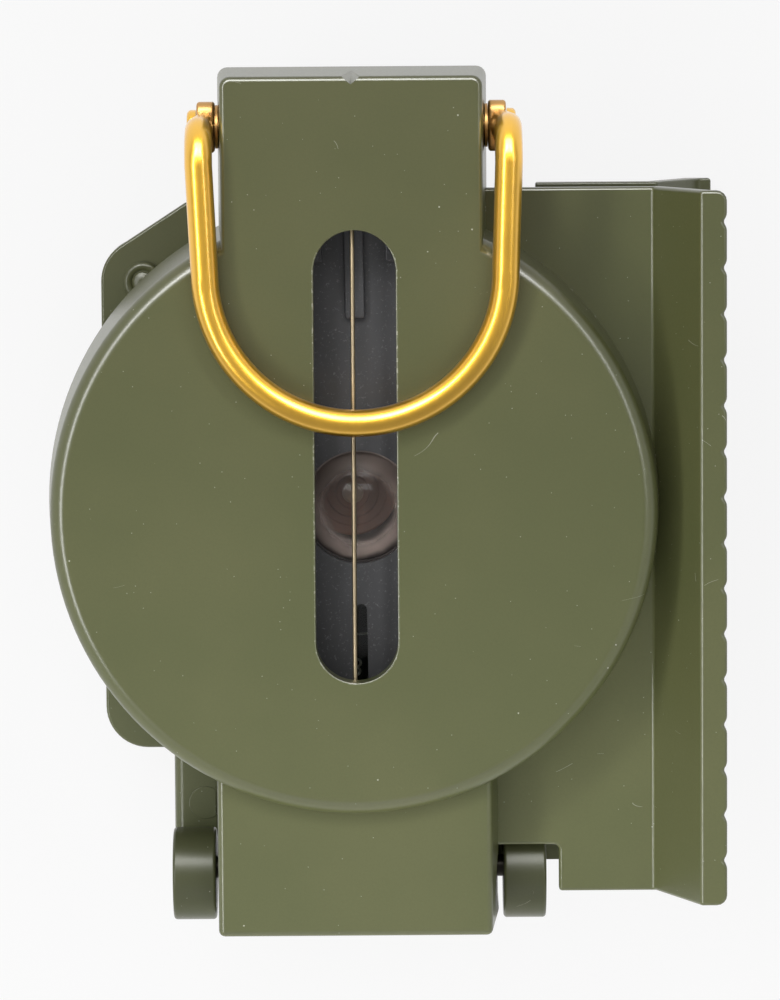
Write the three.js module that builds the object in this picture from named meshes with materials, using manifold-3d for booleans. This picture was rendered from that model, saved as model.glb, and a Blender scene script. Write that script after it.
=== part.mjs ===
// A folding pocket compass: a die-cast case with a hinged lid, a sighting wire in the lid's window,
// a lens arm that folds down over the dial, a turning bezel and a liquid-filled capsule.
// Millimetres, +Z up, +Y towards the thumb loop. The origin is on the dial's axis, under the case.
import * as THREE from 'three';
import Module from 'manifold-3d';
import { mergeVertices } from 'three/addons/utils/BufferGeometryUtils.js';

const wasm = await Module();
wasm.setup();

// Clearances
const SEAT_GAP = 0.1;
const RUN_GAP = 0.3;
const PIN_GAP = 0.25;
const OVERCUT = 2;

// How finely round forms are cut
const ROUND = 48;
const MID_ROUND = 24;
const SMALL_ROUND = 16;
const WIRE_ROUND = 8;
const FILLET_STEPS = 3;
const MERGE_DISTANCE = 1e-4;

// Case heights
const CASE_HEIGHT = 26;
const FLANGE_TOP = 8;
const FLANGE_THICK = 1.8;
const RIM_DEPTH = 11;
const LID_EDGE_LIFT = 0.4;
const BLOCK_RELIEF = 0.5;

// Lid
const LID_RADIUS = 26.4;
const LID_PLATE = 2;
const LID_WALL = 1.5;
const LID_GAP = 0.3;
const LID_FILLET = 1;
const LID_DRAFT = Math.tan(THREE.MathUtils.degToRad(4));
const TAB_DRAFT = Math.tan(THREE.MathUtils.degToRad(2.5));
const TAB_HALF_WIDTH = 11.5;
const TAB_REACH = 11.6;
const TAB_OVERLAP = 11.4;
const SIGHT_NOTCH_WIDTH = 1.5;
const SIGHT_NOTCH_DEPTH = 0.55;
const WINDOW_WIDTH = 7.5;
const WINDOW_LENGTH = 39.5;
const WINDOW_MIDDLE = 4.95;

// Lid hinge
const HINGE_REACH = 6.8;
const KNUCKLE_RADIUS = 4.1;
const KNUCKLE_WIDTH = 3.6;
const HINGE_PIN_RADIUS = 1;
const BLOCK_HALF_WIDTH = 12.2;
const BLOCK_DROP = 2.5;
const BLOCK_REACH = 4;
const BLOCK_LIFT = 3;
const BLOCK_OVERLAP = 4;
const HINGE_SIDE_GAP = 0.7;
const HINGE_ARM_DROP = 2.8;
const HINGE_ARM_LENGTH = 15.2;

// Ruler wings on the right of the lid and of the base
const RULER_REACH = 6.1;
const RULER_FRONT_REACH = 1.5;
const LID_RULER_TAIL = 0.9;
const BASE_RULER_GAP = 1.4;
const WEB_DEPTH = 8.4;
const WEB_THICK = 1.6;
const STRIP_WIDTH = 2.3;
const STRIP_THICK = 1.5;
const STRIP_INSET = 0.5;
const BASE_STRIP_INSET = 0.3;
const SLOPE_WIDTH = 3.7;
const SLOPE_FOOT_STEP = 0.8;
const SLOPE_HEAD_STEP = 1.2;
const MARK_PITCH = 4;
const MARK_START = 2.7;
const MARK_MARGIN = 2;
const MARK_WIDTH = 1;
const MARK_DEPTH = 0.35;
const KNUCKLE_CUTOUT_SIDE = 1.2;
const KNUCKLE_CUTOUT_GAP = 0.36;

// Base flange, bowl and end block
const BOWL_WALL = 1.6;
const FLANGE_MARGIN = 1;
const LUG_OFFSET = 2.4;
const LUG_GAP = 0.6;
const LUG_RADIUS = 3.8;
const LUG_SLANT = THREE.MathUtils.degToRad(33);
const END_BLOCK_INSET = 0.7;
const END_BLOCK_END_INSET = 0.4;
const END_BLOCK_WALL = 1.6;
const LOOP_NOTCH_GAP = 1.8;
const LOOP_NOTCH_LENGTH = 3.4;

// Bottom cover and its rivets
const COVER_FLOOR = 1.6;
const COVER_WALL = 1.5;
const COVER_FILLET = 1;
const EAR_THICK = 1.6;
const RIVET_RADIUS = 1;
const RIVET_COLLAR = 1.8;
const RIVET_COLLAR_HEIGHT = 0.6;
const RIVET_DOME = 1.1;
const RIVET_DOME_HEIGHT = 0.4;
const RIVET_TAIL = 1.7;
const RIVET_TAIL_HEIGHT = 0.7;

// Thumb loop on the sides of the lid's tab
const LOOP_WIRE_RADIUS = 1.2;
const LOOP_PIVOT_INSET = 4.5;
const LOOP_PIVOT_DROP = 6.4;
const LOOP_BEND = 3;
const LOOP_LEG_LENGTH = 12.4;
const LOOP_BOW_RADIUS = 13;
const LOOP_STEPS = 60;
const LOOP_SIDES = 8;
const LOOP_EYE_RADIUS = 2.2;
const LOOP_EYE_THICK = 1.4;
const LOOP_TONGUE_WIDTH = 2;
const LOOP_TONGUE_LENGTH = 4.6;
const LOOP_LEG_START = 2.3;
const SCREW_RADIUS = 0.8;
const SCREW_HEAD_RADIUS = 1.5;
const SCREW_HEAD_THICK = 0.8;
const SCREW_SLOT_WIDTH = 0.4;
const SCREW_SLOT_DEPTH = 0.35;

// Sighting wire under the lid's window
const WIRE_RADIUS = 0.2;
const ANCHOR_RADIUS = 1.1;
const ANCHOR_HEIGHT = 0.9;
const ANCHOR_INSET = 2.2;

// Lens arm
const ARM_PIVOT_REACH = 4.2;
const ARM_BARREL_RADIUS = 2;
const ARM_BARREL_HALF = 5;
const ARM_BARREL_LIFT = 1;
const ARM_PIN_RADIUS = 0.8;
const EAR_WIDTH = 3;
const ARM_PLATE = 2;
const ARM_HALF_WIDTH = 7.5;
const ARM_SHOULDER_INSET = 3.1;
const ARM_TIP = -18;
const ARM_TIP_RADIUS = 4;
const ARM_RIB_HEIGHT = 0.8;
const ARM_RIB_WIDTH = 1.8;
const ARM_RIB_LENGTH = 10.8;
const CHEEK_INNER = 2.75;
const CHEEK_LENGTH = 5.9;
const SLIT_WIDTH = 1;
const SLIT_TOP = -8.6;
const LENS_RADIUS = 5.3;
const LENS_LIP = 0.4;
const LENS_LIP_THICK = 0.6;
const LENS_RIM_THICK = 0.6;
const LENS_DOME_HEIGHT = 2.3;
const LENS_STEPS = 5;
const LENS_SEAT_WIDTH = 0.9;
const LENS_RING_HEIGHT = 0.5;
const LENS_RING_OVERLAP = 0.9;

// Bezel
const BEZEL_EDGE_STEP = 0.3;
const BEZEL_HEIGHT = 2.3;
const BEZEL_TEETH = 36;
const BEZEL_TOOTH = 0.35;
const BEZEL_RIM_WIDTH = 2.8;
const BEZEL_CRYSTAL_SEAT = 0.8;
const BEZEL_CRYSTAL_THICK = 1.2;
const BEZEL_LIP_THICK = 0.7;
const LINE_WIDTH = 1;
const LINE_THICK = 0.2;
const LINE_INNER = 3;
const LINE_MARGIN = 1.5;
const SPRING_THICK = 0.4;
const SPRING_WIDTH = 1.2;

// Capsule
const CAPSULE_WALL = 1.2;
const CAPSULE_RIM_DROP = 3;
const CAPSULE_CRYSTAL_THICK = 1.2;
const SEAL_THICK = 0.6;
const SEAL_WIDTH = 0.9;
const NEEDLE_FOOT_RADIUS = 3;
const NEEDLE_FOOT_THICK = 0.7;
const NEEDLE_RADIUS = 0.7;
const NEEDLE_TIP_RADIUS = 0.2;
const NEEDLE_CONE = 1.6;
const DIAL_EDGE_GAP = 1.5;
const DIAL_DROP = 3;
const DIAL_THICK = 0.8;
const MAGNET_LENGTH = 24;
const MAGNET_WIDTH = 6.4;
const MAGNET_THICK = 1.2;
const JEWEL_FLANGE = 2.6;
const JEWEL_FLANGE_THICK = 0.4;
const JEWEL_DOME_HEIGHT = 0.8;
const JEWEL_STEM = 1.5;
const JEWEL_STEM_LENGTH = 1.1;
const JEWEL_CUP = 1;
const JEWEL_CUP_DEPTH = 1.5;

// Heights that follow from those above
const HINGE_Z = CASE_HEIGHT / 2;
const LID_EDGE = HINGE_Z + LID_EDGE_LIFT;
const LID_INNER_TOP = CASE_HEIGHT - LID_PLATE;
const LID_WEB_TOP = CASE_HEIGHT - WEB_DEPTH;
const BLOCK_TOP = CASE_HEIGHT - BLOCK_DROP;
const BLOCK_UNDERSIDE = HINGE_Z + BLOCK_LIFT;
const HINGE_ARM_TOP = HINGE_Z - HINGE_ARM_DROP;
const FLANGE_BOTTOM = FLANGE_TOP - FLANGE_THICK;
const END_BLOCK_TOP = LID_EDGE - BLOCK_RELIEF;
const EAR_BOTTOM = FLANGE_BOTTOM - SEAT_GAP - EAR_THICK;
const BOWL_RIM = CASE_HEIGHT - RIM_DEPTH;
const CAPSULE_BOTTOM = COVER_FLOOR + SEAT_GAP;
const CAPSULE_FLOOR = CAPSULE_BOTTOM + CAPSULE_WALL;
const CAPSULE_CUP_RIM = BOWL_RIM - CAPSULE_RIM_DROP;
const SEAL_BOTTOM = CAPSULE_CUP_RIM + SEAT_GAP;
const CAPSULE_CRYSTAL_BOTTOM = SEAL_BOTTOM + SEAL_THICK + SEAT_GAP;
const CAPSULE_CRYSTAL_TOP = CAPSULE_CRYSTAL_BOTTOM + CAPSULE_CRYSTAL_THICK;
const SPRING_BOTTOM = CAPSULE_CRYSTAL_TOP + SEAT_GAP;
const DIAL_BOTTOM = CAPSULE_CUP_RIM - DIAL_DROP;
const DIAL_TOP = DIAL_BOTTOM + DIAL_THICK;
const BEZEL_SEAT = BOWL_RIM + RUN_GAP;
const BEZEL_TOP = BEZEL_SEAT + BEZEL_HEIGHT;
const BEZEL_CRYSTAL_TOP = BEZEL_TOP - BEZEL_LIP_THICK - SEAT_GAP;
const BEZEL_CRYSTAL_BOTTOM = BEZEL_CRYSTAL_TOP - BEZEL_CRYSTAL_THICK;
const ARM_BOTTOM = BEZEL_TOP + RUN_GAP;
const ARM_FACE = ARM_BOTTOM + ARM_PLATE;
const ARM_PIVOT_Z = ARM_BOTTOM + ARM_BARREL_LIFT;
const LOOP_PLANE = CASE_HEIGHT + RUN_GAP + LOOP_WIRE_RADIUS;
const LOOP_PIVOT_Z = CASE_HEIGHT - LOOP_PIVOT_DROP;

// Radii and places that follow from those above
const BOWL_RADIUS = LID_RADIUS - LID_WALL - LID_GAP;
const BOWL_BORE = BOWL_RADIUS - BOWL_WALL;
const CAPSULE_RADIUS = BOWL_BORE - RUN_GAP;
const DIAL_RADIUS = CAPSULE_RADIUS - CAPSULE_WALL - DIAL_EDGE_GAP;
const BEZEL_RADIUS = BOWL_RADIUS - BEZEL_EDGE_STEP;
const BEZEL_BORE = BOWL_BORE - BEZEL_RIM_WIDTH;
const BEZEL_CRYSTAL_RADIUS = BEZEL_BORE + BEZEL_CRYSTAL_SEAT;
const TAB_END = LID_RADIUS + TAB_REACH;
const TAB_ROOT = LID_RADIUS - TAB_OVERLAP;
const WINDOW_FRONT = WINDOW_MIDDLE + WINDOW_LENGTH / 2;
const WINDOW_BACK = WINDOW_MIDDLE - WINDOW_LENGTH / 2;
const HINGE_Y = -LID_RADIUS - HINGE_REACH;
const KNUCKLE_INNER = BLOCK_HALF_WIDTH + HINGE_SIDE_GAP;
const KNUCKLE_OUTER = KNUCKLE_INNER + KNUCKLE_WIDTH;
const HINGE_ARM_ROOT = HINGE_Y + HINGE_ARM_LENGTH;
const RULER_EDGE = LID_RADIUS + RULER_REACH;
const SLOPE_HEAD = RULER_EDGE - STRIP_WIDTH;
const SLOPE_FOOT = SLOPE_HEAD - SLOPE_WIDTH;
const RULER_FRONT = LID_RADIUS + RULER_FRONT_REACH;
const LID_RULER_BACK = HINGE_Y - LID_RULER_TAIL;
const BASE_RULER_BACK = HINGE_Y + BASE_RULER_GAP;
const LUG_X = KNUCKLE_OUTER + RIVET_COLLAR + LUG_GAP;
const LUG_Y = Math.sqrt((BOWL_RADIUS + LUG_OFFSET) ** 2 - LUG_X ** 2);
const END_BLOCK_HALF_WIDTH = TAB_HALF_WIDTH - END_BLOCK_INSET;
const END_BLOCK_END = TAB_END - END_BLOCK_END_INSET;
const ARM_PIVOT_Y = LID_RADIUS + ARM_PIVOT_REACH;
const ARM_SHOULDER = ARM_PIVOT_Y - ARM_SHOULDER_INSET;
const ARM_RIB_FOOT = ARM_SHOULDER - ARM_RIB_LENGTH;
const CHEEK_FOOT = ARM_SHOULDER - CHEEK_LENGTH;
const EAR_INNER = ARM_BARREL_HALF + RUN_GAP;
const LENS_DOME_RADIUS = LENS_RADIUS - LENS_LIP - SEAT_GAP;
const LENS_RING_BORE = LENS_RADIUS - LENS_RING_OVERLAP;
const LOOP_PIVOT_Y = TAB_END - LOOP_PIVOT_INSET;
const LOOP_BOW_START = LOOP_PIVOT_Y - LOOP_LEG_LENGTH;
const TAB_SIDE_AT_PIVOT = TAB_HALF_WIDTH + (CASE_HEIGHT - LOOP_PIVOT_Z) * TAB_DRAFT;
const LOOP_EYE_INNER = TAB_SIDE_AT_PIVOT + RUN_GAP;
const LOOP_EYE_OUTER = LOOP_EYE_INNER + LOOP_EYE_THICK;
const LOOP_HALF_WIDTH = LOOP_EYE_INNER + LOOP_WIRE_RADIUS + SEAT_GAP;

// Finishes
const OLIVE_PAINT = { color: '#666a48', roughness: 0.45, metalness: 0.1 };
const BRASS = { color: '#c99a3a', roughness: 0.3, metalness: 1 };
const STEEL = { color: '#b4b4b0', roughness: 0.35, metalness: 1 };
const BLACK_PLASTIC = { color: '#26272a', roughness: 0.5, metalness: 0 };
const CLEAR = { color: '#dfe6e6', roughness: 0.05, metalness: 0 };
const DIAL_BLACK = { color: '#141517', roughness: 0.6, metalness: 0 };
const GLOW_PAINT = { color: '#cfe3b4', roughness: 0.6, metalness: 0 };
const RUBBER = { color: '#1d1d1d', roughness: 0.8, metalness: 0 };
const COPPER = { color: '#a8684a', roughness: 0.35, metalness: 1 };

// A closed geometry as a solid that can be joined and cut, with its faces pointing out.
function solid(geometry) {
  const bare = geometry.clone();
  bare.deleteAttribute('normal');
  bare.deleteAttribute('uv');
  const merged = mergeVertices(bare, MERGE_DISTANCE);
  const points = merged.attributes.position;
  const corner = [0, 1, 2].map(() => new THREE.Vector3());
  const triangles = [];
  let volume = 0;
  for (let at = 0; at < merged.index.count; at += 3) {
    const [a, b, c] = [0, 1, 2].map((step) => merged.index.getX(at + step));
    if (a === b || b === c || c === a) {
      continue;
    }
    triangles.push([a, b, c]);
    [a, b, c].forEach((vertex, step) => corner[step].fromBufferAttribute(points, vertex));
    volume += corner[0].dot(corner[1].cross(corner[2]));
  }
  const facing = volume < 0 ? triangles.map(([a, b, c]) => [a, c, b]) : triangles;
  const vertProperties = new Float32Array(points.array);
  const triVerts = new Uint32Array(facing.flat());
  return new wasm.Manifold(new wasm.Mesh({ numProp: 3, vertProperties, triVerts }));
}

// One solid out of many.
function joined(...solids) {
  return solids.reduce((whole, next) => whole.add(next));
}

// A solid with others cut away.
function cut(body, ...tools) {
  return tools.reduce((rest, tool) => rest.subtract(tool), body);
}

// A named mesh of a solid, with its own material.
function piece(name, body, finish) {
  const data = body.getMesh();
  const geometry = new THREE.BufferGeometry();
  geometry.setAttribute('position', new THREE.BufferAttribute(data.vertProperties, 3));
  geometry.setIndex(new THREE.BufferAttribute(data.triVerts, 1));
  const mesh = new THREE.Mesh(geometry, new THREE.MeshStandardMaterial(finish));
  mesh.name = name;
  return mesh;
}

// A rectangular bar between two corners.
function bar(x0, x1, y0, y1, z0, z1) {
  const box = new THREE.BoxGeometry(x1 - x0, y1 - y0, z1 - z0);
  return box.translate((x0 + x1) / 2, (y0 + y1) / 2, (z0 + z1) / 2);
}

// A form turned about the vertical axis from [radius, height] pairs.
function turned(profile, segments = ROUND) {
  const points = profile.map(([radius, height]) => new THREE.Vector2(radius, height));
  return new THREE.LatheGeometry(points, segments).rotateX(Math.PI / 2);
}

// An upright cylinder.
function column(radius, z0, z1, segments = ROUND) {
  return turned([[0, z0], [radius, z0], [radius, z1], [0, z1]], segments);
}

// A flat ring with a square section.
function ring(inner, outer, z0, z1) {
  return turned([[inner, z0], [outer, z0], [outer, z1], [inner, z1], [inner, z0]]);
}

// A round bar along X.
function crossBar(radius, x0, x1, y, z, segments = SMALL_ROUND) {
  return column(radius, x0, x1, segments).rotateY(Math.PI / 2).translate(0, y, z);
}

// Points of an arc for a turned profile, from one angle to another in degrees.
function fillet(centreRadius, centreHeight, radius, from, to) {
  return Array.from({ length: FILLET_STEPS + 1 }, (_, step) => {
    const angle = THREE.MathUtils.degToRad(from + ((to - from) * step) / FILLET_STEPS);
    return [centreRadius + radius * Math.cos(angle), centreHeight + radius * Math.sin(angle)];
  });
}

// A flat outline on the XY plane raised from z0 to z1.
function plate(outline, z0, z1) {
  const settings = { depth: z1 - z0, bevelEnabled: false, curveSegments: SMALL_ROUND };
  return new THREE.ExtrudeGeometry(outline, settings).translate(0, 0, z0);
}

// An outline in X and Z drawn along Y.
function lengthwise(outline, y0, y1) {
  const turn = new THREE.Matrix4().makeBasis(
    new THREE.Vector3(1, 0, 0),
    new THREE.Vector3(0, 0, 1),
    new THREE.Vector3(0, -1, 0),
  );
  return plate(outline, 0, y1 - y0).applyMatrix4(turn).translate(0, y1, 0);
}

// An outline in Y and Z drawn along X.
function sideways(outline, x0, x1) {
  const turn = new THREE.Matrix4().makeBasis(
    new THREE.Vector3(0, 1, 0),
    new THREE.Vector3(0, 0, 1),
    new THREE.Vector3(1, 0, 0),
  );
  return plate(outline, 0, x1 - x0).applyMatrix4(turn).translate(x0, 0, 0);
}

// An outline through straight corners.
function polygon(corners) {
  return new THREE.Shape(corners.map(([x, y]) => new THREE.Vector2(x, y)));
}

// A bar whose sides and far end lean out below its top, as a casting's walls do.
function leaning(box, slope, top) {
  const points = box.attributes.position;
  for (let at = 0; at < points.count; at += 1) {
    const lean = (top - points.getZ(at)) * slope;
    points.setX(at, points.getX(at) + Math.sign(points.getX(at)) * lean);
    points.setY(at, points.getY(at) + (points.getY(at) > TAB_ROOT ? lean : 0));
  }
  return box;
}

// V cuts along a ruler's edge, one for each mark.
function rulerMarks(back, bottom, top) {
  const marks = [];
  for (let y = RULER_FRONT - MARK_START; y > back + MARK_MARGIN; y -= MARK_PITCH) {
    const notch = polygon([
      [RULER_EDGE - MARK_DEPTH, y],
      [RULER_EDGE + MARK_DEPTH, y - MARK_WIDTH],
      [RULER_EDGE + MARK_DEPTH, y + MARK_WIDTH],
    ]);
    marks.push(solid(plate(notch, bottom - OVERCUT, top + OVERCUT)));
  }
  return joined(...marks);
}

// The four places where a rivet holds the bottom cover's ears to the flange.
const LUGS = [[-LUG_X, LUG_Y], [LUG_X, LUG_Y], [-LUG_X, -LUG_Y], [LUG_X, -LUG_Y]];

function columnAt([x, y], radius, z0, z1) {
  return solid(column(radius, z0, z1, SMALL_ROUND).translate(x, y, 0));
}

// Base frame: flange with bowl wall, hinge arms, ruler wing and the end block under the lid's tab.
function leftFlange() {
  const slantX = -LUG_X - LUG_RADIUS * Math.sin(LUG_SLANT);
  const slantY = LUG_Y + LUG_RADIUS * Math.cos(LUG_SLANT);
  const slantEnd = slantY + (-END_BLOCK_HALF_WIDTH - slantX) * Math.tan(LUG_SLANT);
  const outline = new THREE.Shape();
  outline.moveTo(0, -LUG_Y);
  outline.lineTo(0, slantEnd);
  outline.lineTo(-END_BLOCK_HALF_WIDTH, slantEnd);
  outline.lineTo(slantX, slantY);
  outline.absarc(-LUG_X, LUG_Y, LUG_RADIUS, Math.PI / 2 + LUG_SLANT, Math.PI, false);
  outline.lineTo(-LUG_X - LUG_RADIUS, -LUG_Y);
  outline.absarc(-LUG_X, -LUG_Y, LUG_RADIUS, Math.PI, (Math.PI * 3) / 2, false);
  outline.lineTo(-KNUCKLE_INNER, -LUG_Y - LUG_RADIUS);
  return solid(plate(outline, FLANGE_BOTTOM, FLANGE_TOP));
}

function baseWing() {
  const stripTop = BASE_STRIP_INSET + STRIP_THICK;
  const section = polygon([
    [0, FLANGE_BOTTOM],
    [SLOPE_FOOT, FLANGE_BOTTOM],
    [SLOPE_HEAD, BASE_STRIP_INSET],
    [RULER_EDGE, BASE_STRIP_INSET],
    [RULER_EDGE, stripTop],
    [SLOPE_HEAD + SLOPE_HEAD_STEP, stripTop],
    [SLOPE_FOOT + SLOPE_FOOT_STEP, FLANGE_TOP],
    [0, FLANGE_TOP],
  ]);
  const wing = solid(lengthwise(section, BASE_RULER_BACK, RULER_FRONT));
  const [back, front] = [BASE_RULER_BACK - OVERCUT, RULER_FRONT + OVERCUT];
  const hingeRoom = bar(-OVERCUT, KNUCKLE_INNER, back, -LUG_Y, 0, BOWL_RIM);
  const loopSide = LOOP_HALF_WIDTH + LOOP_WIRE_RADIUS + LOOP_NOTCH_GAP;
  const loopRoom = bar(-OVERCUT, loopSide, RULER_FRONT - LOOP_NOTCH_LENGTH, front, 0, BOWL_RIM);
  const marks = rulerMarks(BASE_RULER_BACK, BASE_STRIP_INSET, stripTop);
  return cut(wing, solid(hingeRoom), solid(loopRoom), marks);
}

// Two distances from the middle plane as a span along X, on the left or on the right.
function spanOn(side, inner, outer) {
  return side > 0 ? [inner, outer] : [-outer, -inner];
}

function hingeArm(side) {
  const [inner, outer] = spanOn(side, KNUCKLE_INNER, KNUCKLE_OUTER);
  const arm = solid(bar(inner, outer, HINGE_Y, HINGE_ARM_ROOT, FLANGE_BOTTOM, HINGE_ARM_TOP));
  return arm.add(solid(crossBar(KNUCKLE_RADIUS, inner, outer, HINGE_Y, HINGE_Z, MID_ROUND)));
}

function endBlock() {
  const half = END_BLOCK_HALF_WIDTH;
  return solid(bar(-half, half, LUG_Y, END_BLOCK_END, FLANGE_BOTTOM, END_BLOCK_TOP));
}

function endPocket() {
  const half = END_BLOCK_HALF_WIDTH - END_BLOCK_WALL;
  const [back, front] = [BOWL_RADIUS + END_BLOCK_WALL, END_BLOCK_END - END_BLOCK_WALL];
  return solid(bar(-half, half, back, front, FLANGE_BOTTOM - OVERCUT, END_BLOCK_TOP - END_BLOCK_WALL));
}

function armEar(side) {
  const [inner, outer] = spanOn(side, EAR_INNER, EAR_INNER + EAR_WIDTH);
  const [back, front] = [ARM_PIVOT_Y - ARM_BARREL_RADIUS, ARM_PIVOT_Y + ARM_BARREL_RADIUS];
  const post = solid(bar(inner, outer, back, front, END_BLOCK_TOP - END_BLOCK_WALL / 2, ARM_PIVOT_Z));
  return post.add(solid(crossBar(ARM_BARREL_RADIUS, inner, outer, ARM_PIVOT_Y, ARM_PIVOT_Z)));
}

function baseFrame() {
  const body = joined(
    solid(column(BOWL_RADIUS + FLANGE_MARGIN, FLANGE_BOTTOM, FLANGE_TOP)),
    solid(column(BOWL_RADIUS, FLANGE_BOTTOM, BOWL_RIM)),
    leftFlange(),
    baseWing(),
    hingeArm(-1),
    hingeArm(1),
    endBlock(),
    armEar(-1),
    armEar(1),
  );
  const pinReach = KNUCKLE_OUTER + OVERCUT;
  const earReach = EAR_INNER + EAR_WIDTH + OVERCUT;
  return cut(
    body,
    endPocket(),
    solid(column(BOWL_BORE, FLANGE_BOTTOM - OVERCUT, BOWL_RIM + OVERCUT)),
    solid(crossBar(HINGE_PIN_RADIUS + PIN_GAP, -pinReach, pinReach, HINGE_Y, HINGE_Z)),
    solid(crossBar(ARM_PIN_RADIUS + PIN_GAP, -earReach, earReach, ARM_PIVOT_Y, ARM_PIVOT_Z)),
    ...LUGS.map((lug) => columnAt(lug, RIVET_RADIUS + PIN_GAP, 0, CASE_HEIGHT)),
  );
}

// Bottom cover: a shallow dish whose four ears are riveted under the flange.
function bottomCover() {
  const top = FLANGE_BOTTOM - SEAT_GAP;
  const dish = solid(turned([
    [0, 0],
    ...fillet(BOWL_RADIUS - COVER_FILLET, COVER_FILLET, COVER_FILLET, -90, 0),
    [BOWL_RADIUS, top],
    [0, top],
  ]));
  const ears = LUGS.map((lug) => columnAt(lug, LUG_RADIUS, EAR_BOTTOM, top));
  return cut(
    joined(dish, ...ears),
    solid(column(BOWL_RADIUS - COVER_WALL, COVER_FLOOR, top + OVERCUT)),
    ...LUGS.map((lug) => columnAt(lug, RIVET_RADIUS + PIN_GAP, COVER_FLOOR, CASE_HEIGHT)),
  );
}

function flangeRivet([x, y]) {
  const head = FLANGE_TOP + SEAT_GAP;
  const tail = EAR_BOTTOM - SEAT_GAP;
  const profile = [
    [0, tail - RIVET_TAIL_HEIGHT],
    [RIVET_TAIL, tail - RIVET_TAIL_HEIGHT],
    [RIVET_TAIL, tail],
    [RIVET_RADIUS, tail],
    [RIVET_RADIUS, head],
    [RIVET_COLLAR, head],
    [RIVET_COLLAR, head + RIVET_COLLAR_HEIGHT],
    [RIVET_DOME, head + RIVET_COLLAR_HEIGHT],
    [0, head + RIVET_COLLAR_HEIGHT + RIVET_DOME_HEIGHT],
  ];
  return solid(turned(profile, SMALL_ROUND).translate(x, y, 0));
}

// Lid: a leaning cup with a tab, a hinge block and a ruler wing, and a window for sighting.
function skirtPoint(inset, height) {
  return [LID_RADIUS - inset + (CASE_HEIGHT - height) * LID_DRAFT, height];
}

function lidWing() {
  const webBottom = LID_WEB_TOP - WEB_THICK;
  const stripTop = CASE_HEIGHT - STRIP_INSET;
  const stripBottom = stripTop - STRIP_THICK;
  const section = polygon([
    [0, webBottom],
    [SLOPE_FOOT + SLOPE_FOOT_STEP, webBottom],
    [SLOPE_HEAD + SLOPE_HEAD_STEP, stripBottom],
    [RULER_EDGE, stripBottom],
    [RULER_EDGE, stripTop],
    [SLOPE_HEAD, stripTop],
    [SLOPE_FOOT, LID_WEB_TOP],
    [0, LID_WEB_TOP],
  ]);
  const wing = solid(lengthwise(section, LID_RULER_BACK, RULER_FRONT));
  const webReach = webBottom - HINGE_Z;
  const cutoutRadius = KNUCKLE_RADIUS + KNUCKLE_CUTOUT_GAP;
  const cutoutFront = HINGE_Y + Math.sqrt(Math.max(cutoutRadius ** 2 - webReach ** 2, 0));
  const cutoutBack = LID_RULER_BACK - OVERCUT;
  const cutoutSide = KNUCKLE_OUTER + KNUCKLE_CUTOUT_SIDE;
  const cutout = bar(0, cutoutSide, cutoutBack, cutoutFront, 0, CASE_HEIGHT + OVERCUT);
  return cut(wing, solid(cutout), rulerMarks(LID_RULER_BACK, stripBottom, stripTop));
}

function lidHingeBlock() {
  const outline = new THREE.Shape();
  outline.moveTo(HINGE_Y - BLOCK_REACH, BLOCK_TOP);
  outline.lineTo(HINGE_Y - BLOCK_REACH, HINGE_Z);
  outline.absarc(HINGE_Y, HINGE_Z, BLOCK_REACH, Math.PI, Math.PI * 2, false);
  outline.lineTo(HINGE_Y + BLOCK_REACH, BLOCK_UNDERSIDE);
  outline.lineTo(-LID_RADIUS + BLOCK_OVERLAP, BLOCK_UNDERSIDE);
  outline.lineTo(-LID_RADIUS + BLOCK_OVERLAP, BLOCK_TOP);
  return solid(sideways(outline, -BLOCK_HALF_WIDTH, BLOCK_HALF_WIDTH));
}

function windowCutter() {
  const half = WINDOW_WIDTH / 2;
  const outline = new THREE.Shape();
  outline.absarc(0, WINDOW_FRONT - half, half, 0, Math.PI, false);
  outline.absarc(0, WINDOW_BACK + half, half, Math.PI, Math.PI * 2, false);
  return solid(plate(outline, LID_INNER_TOP - OVERCUT, CASE_HEIGHT + OVERCUT));
}

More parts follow.
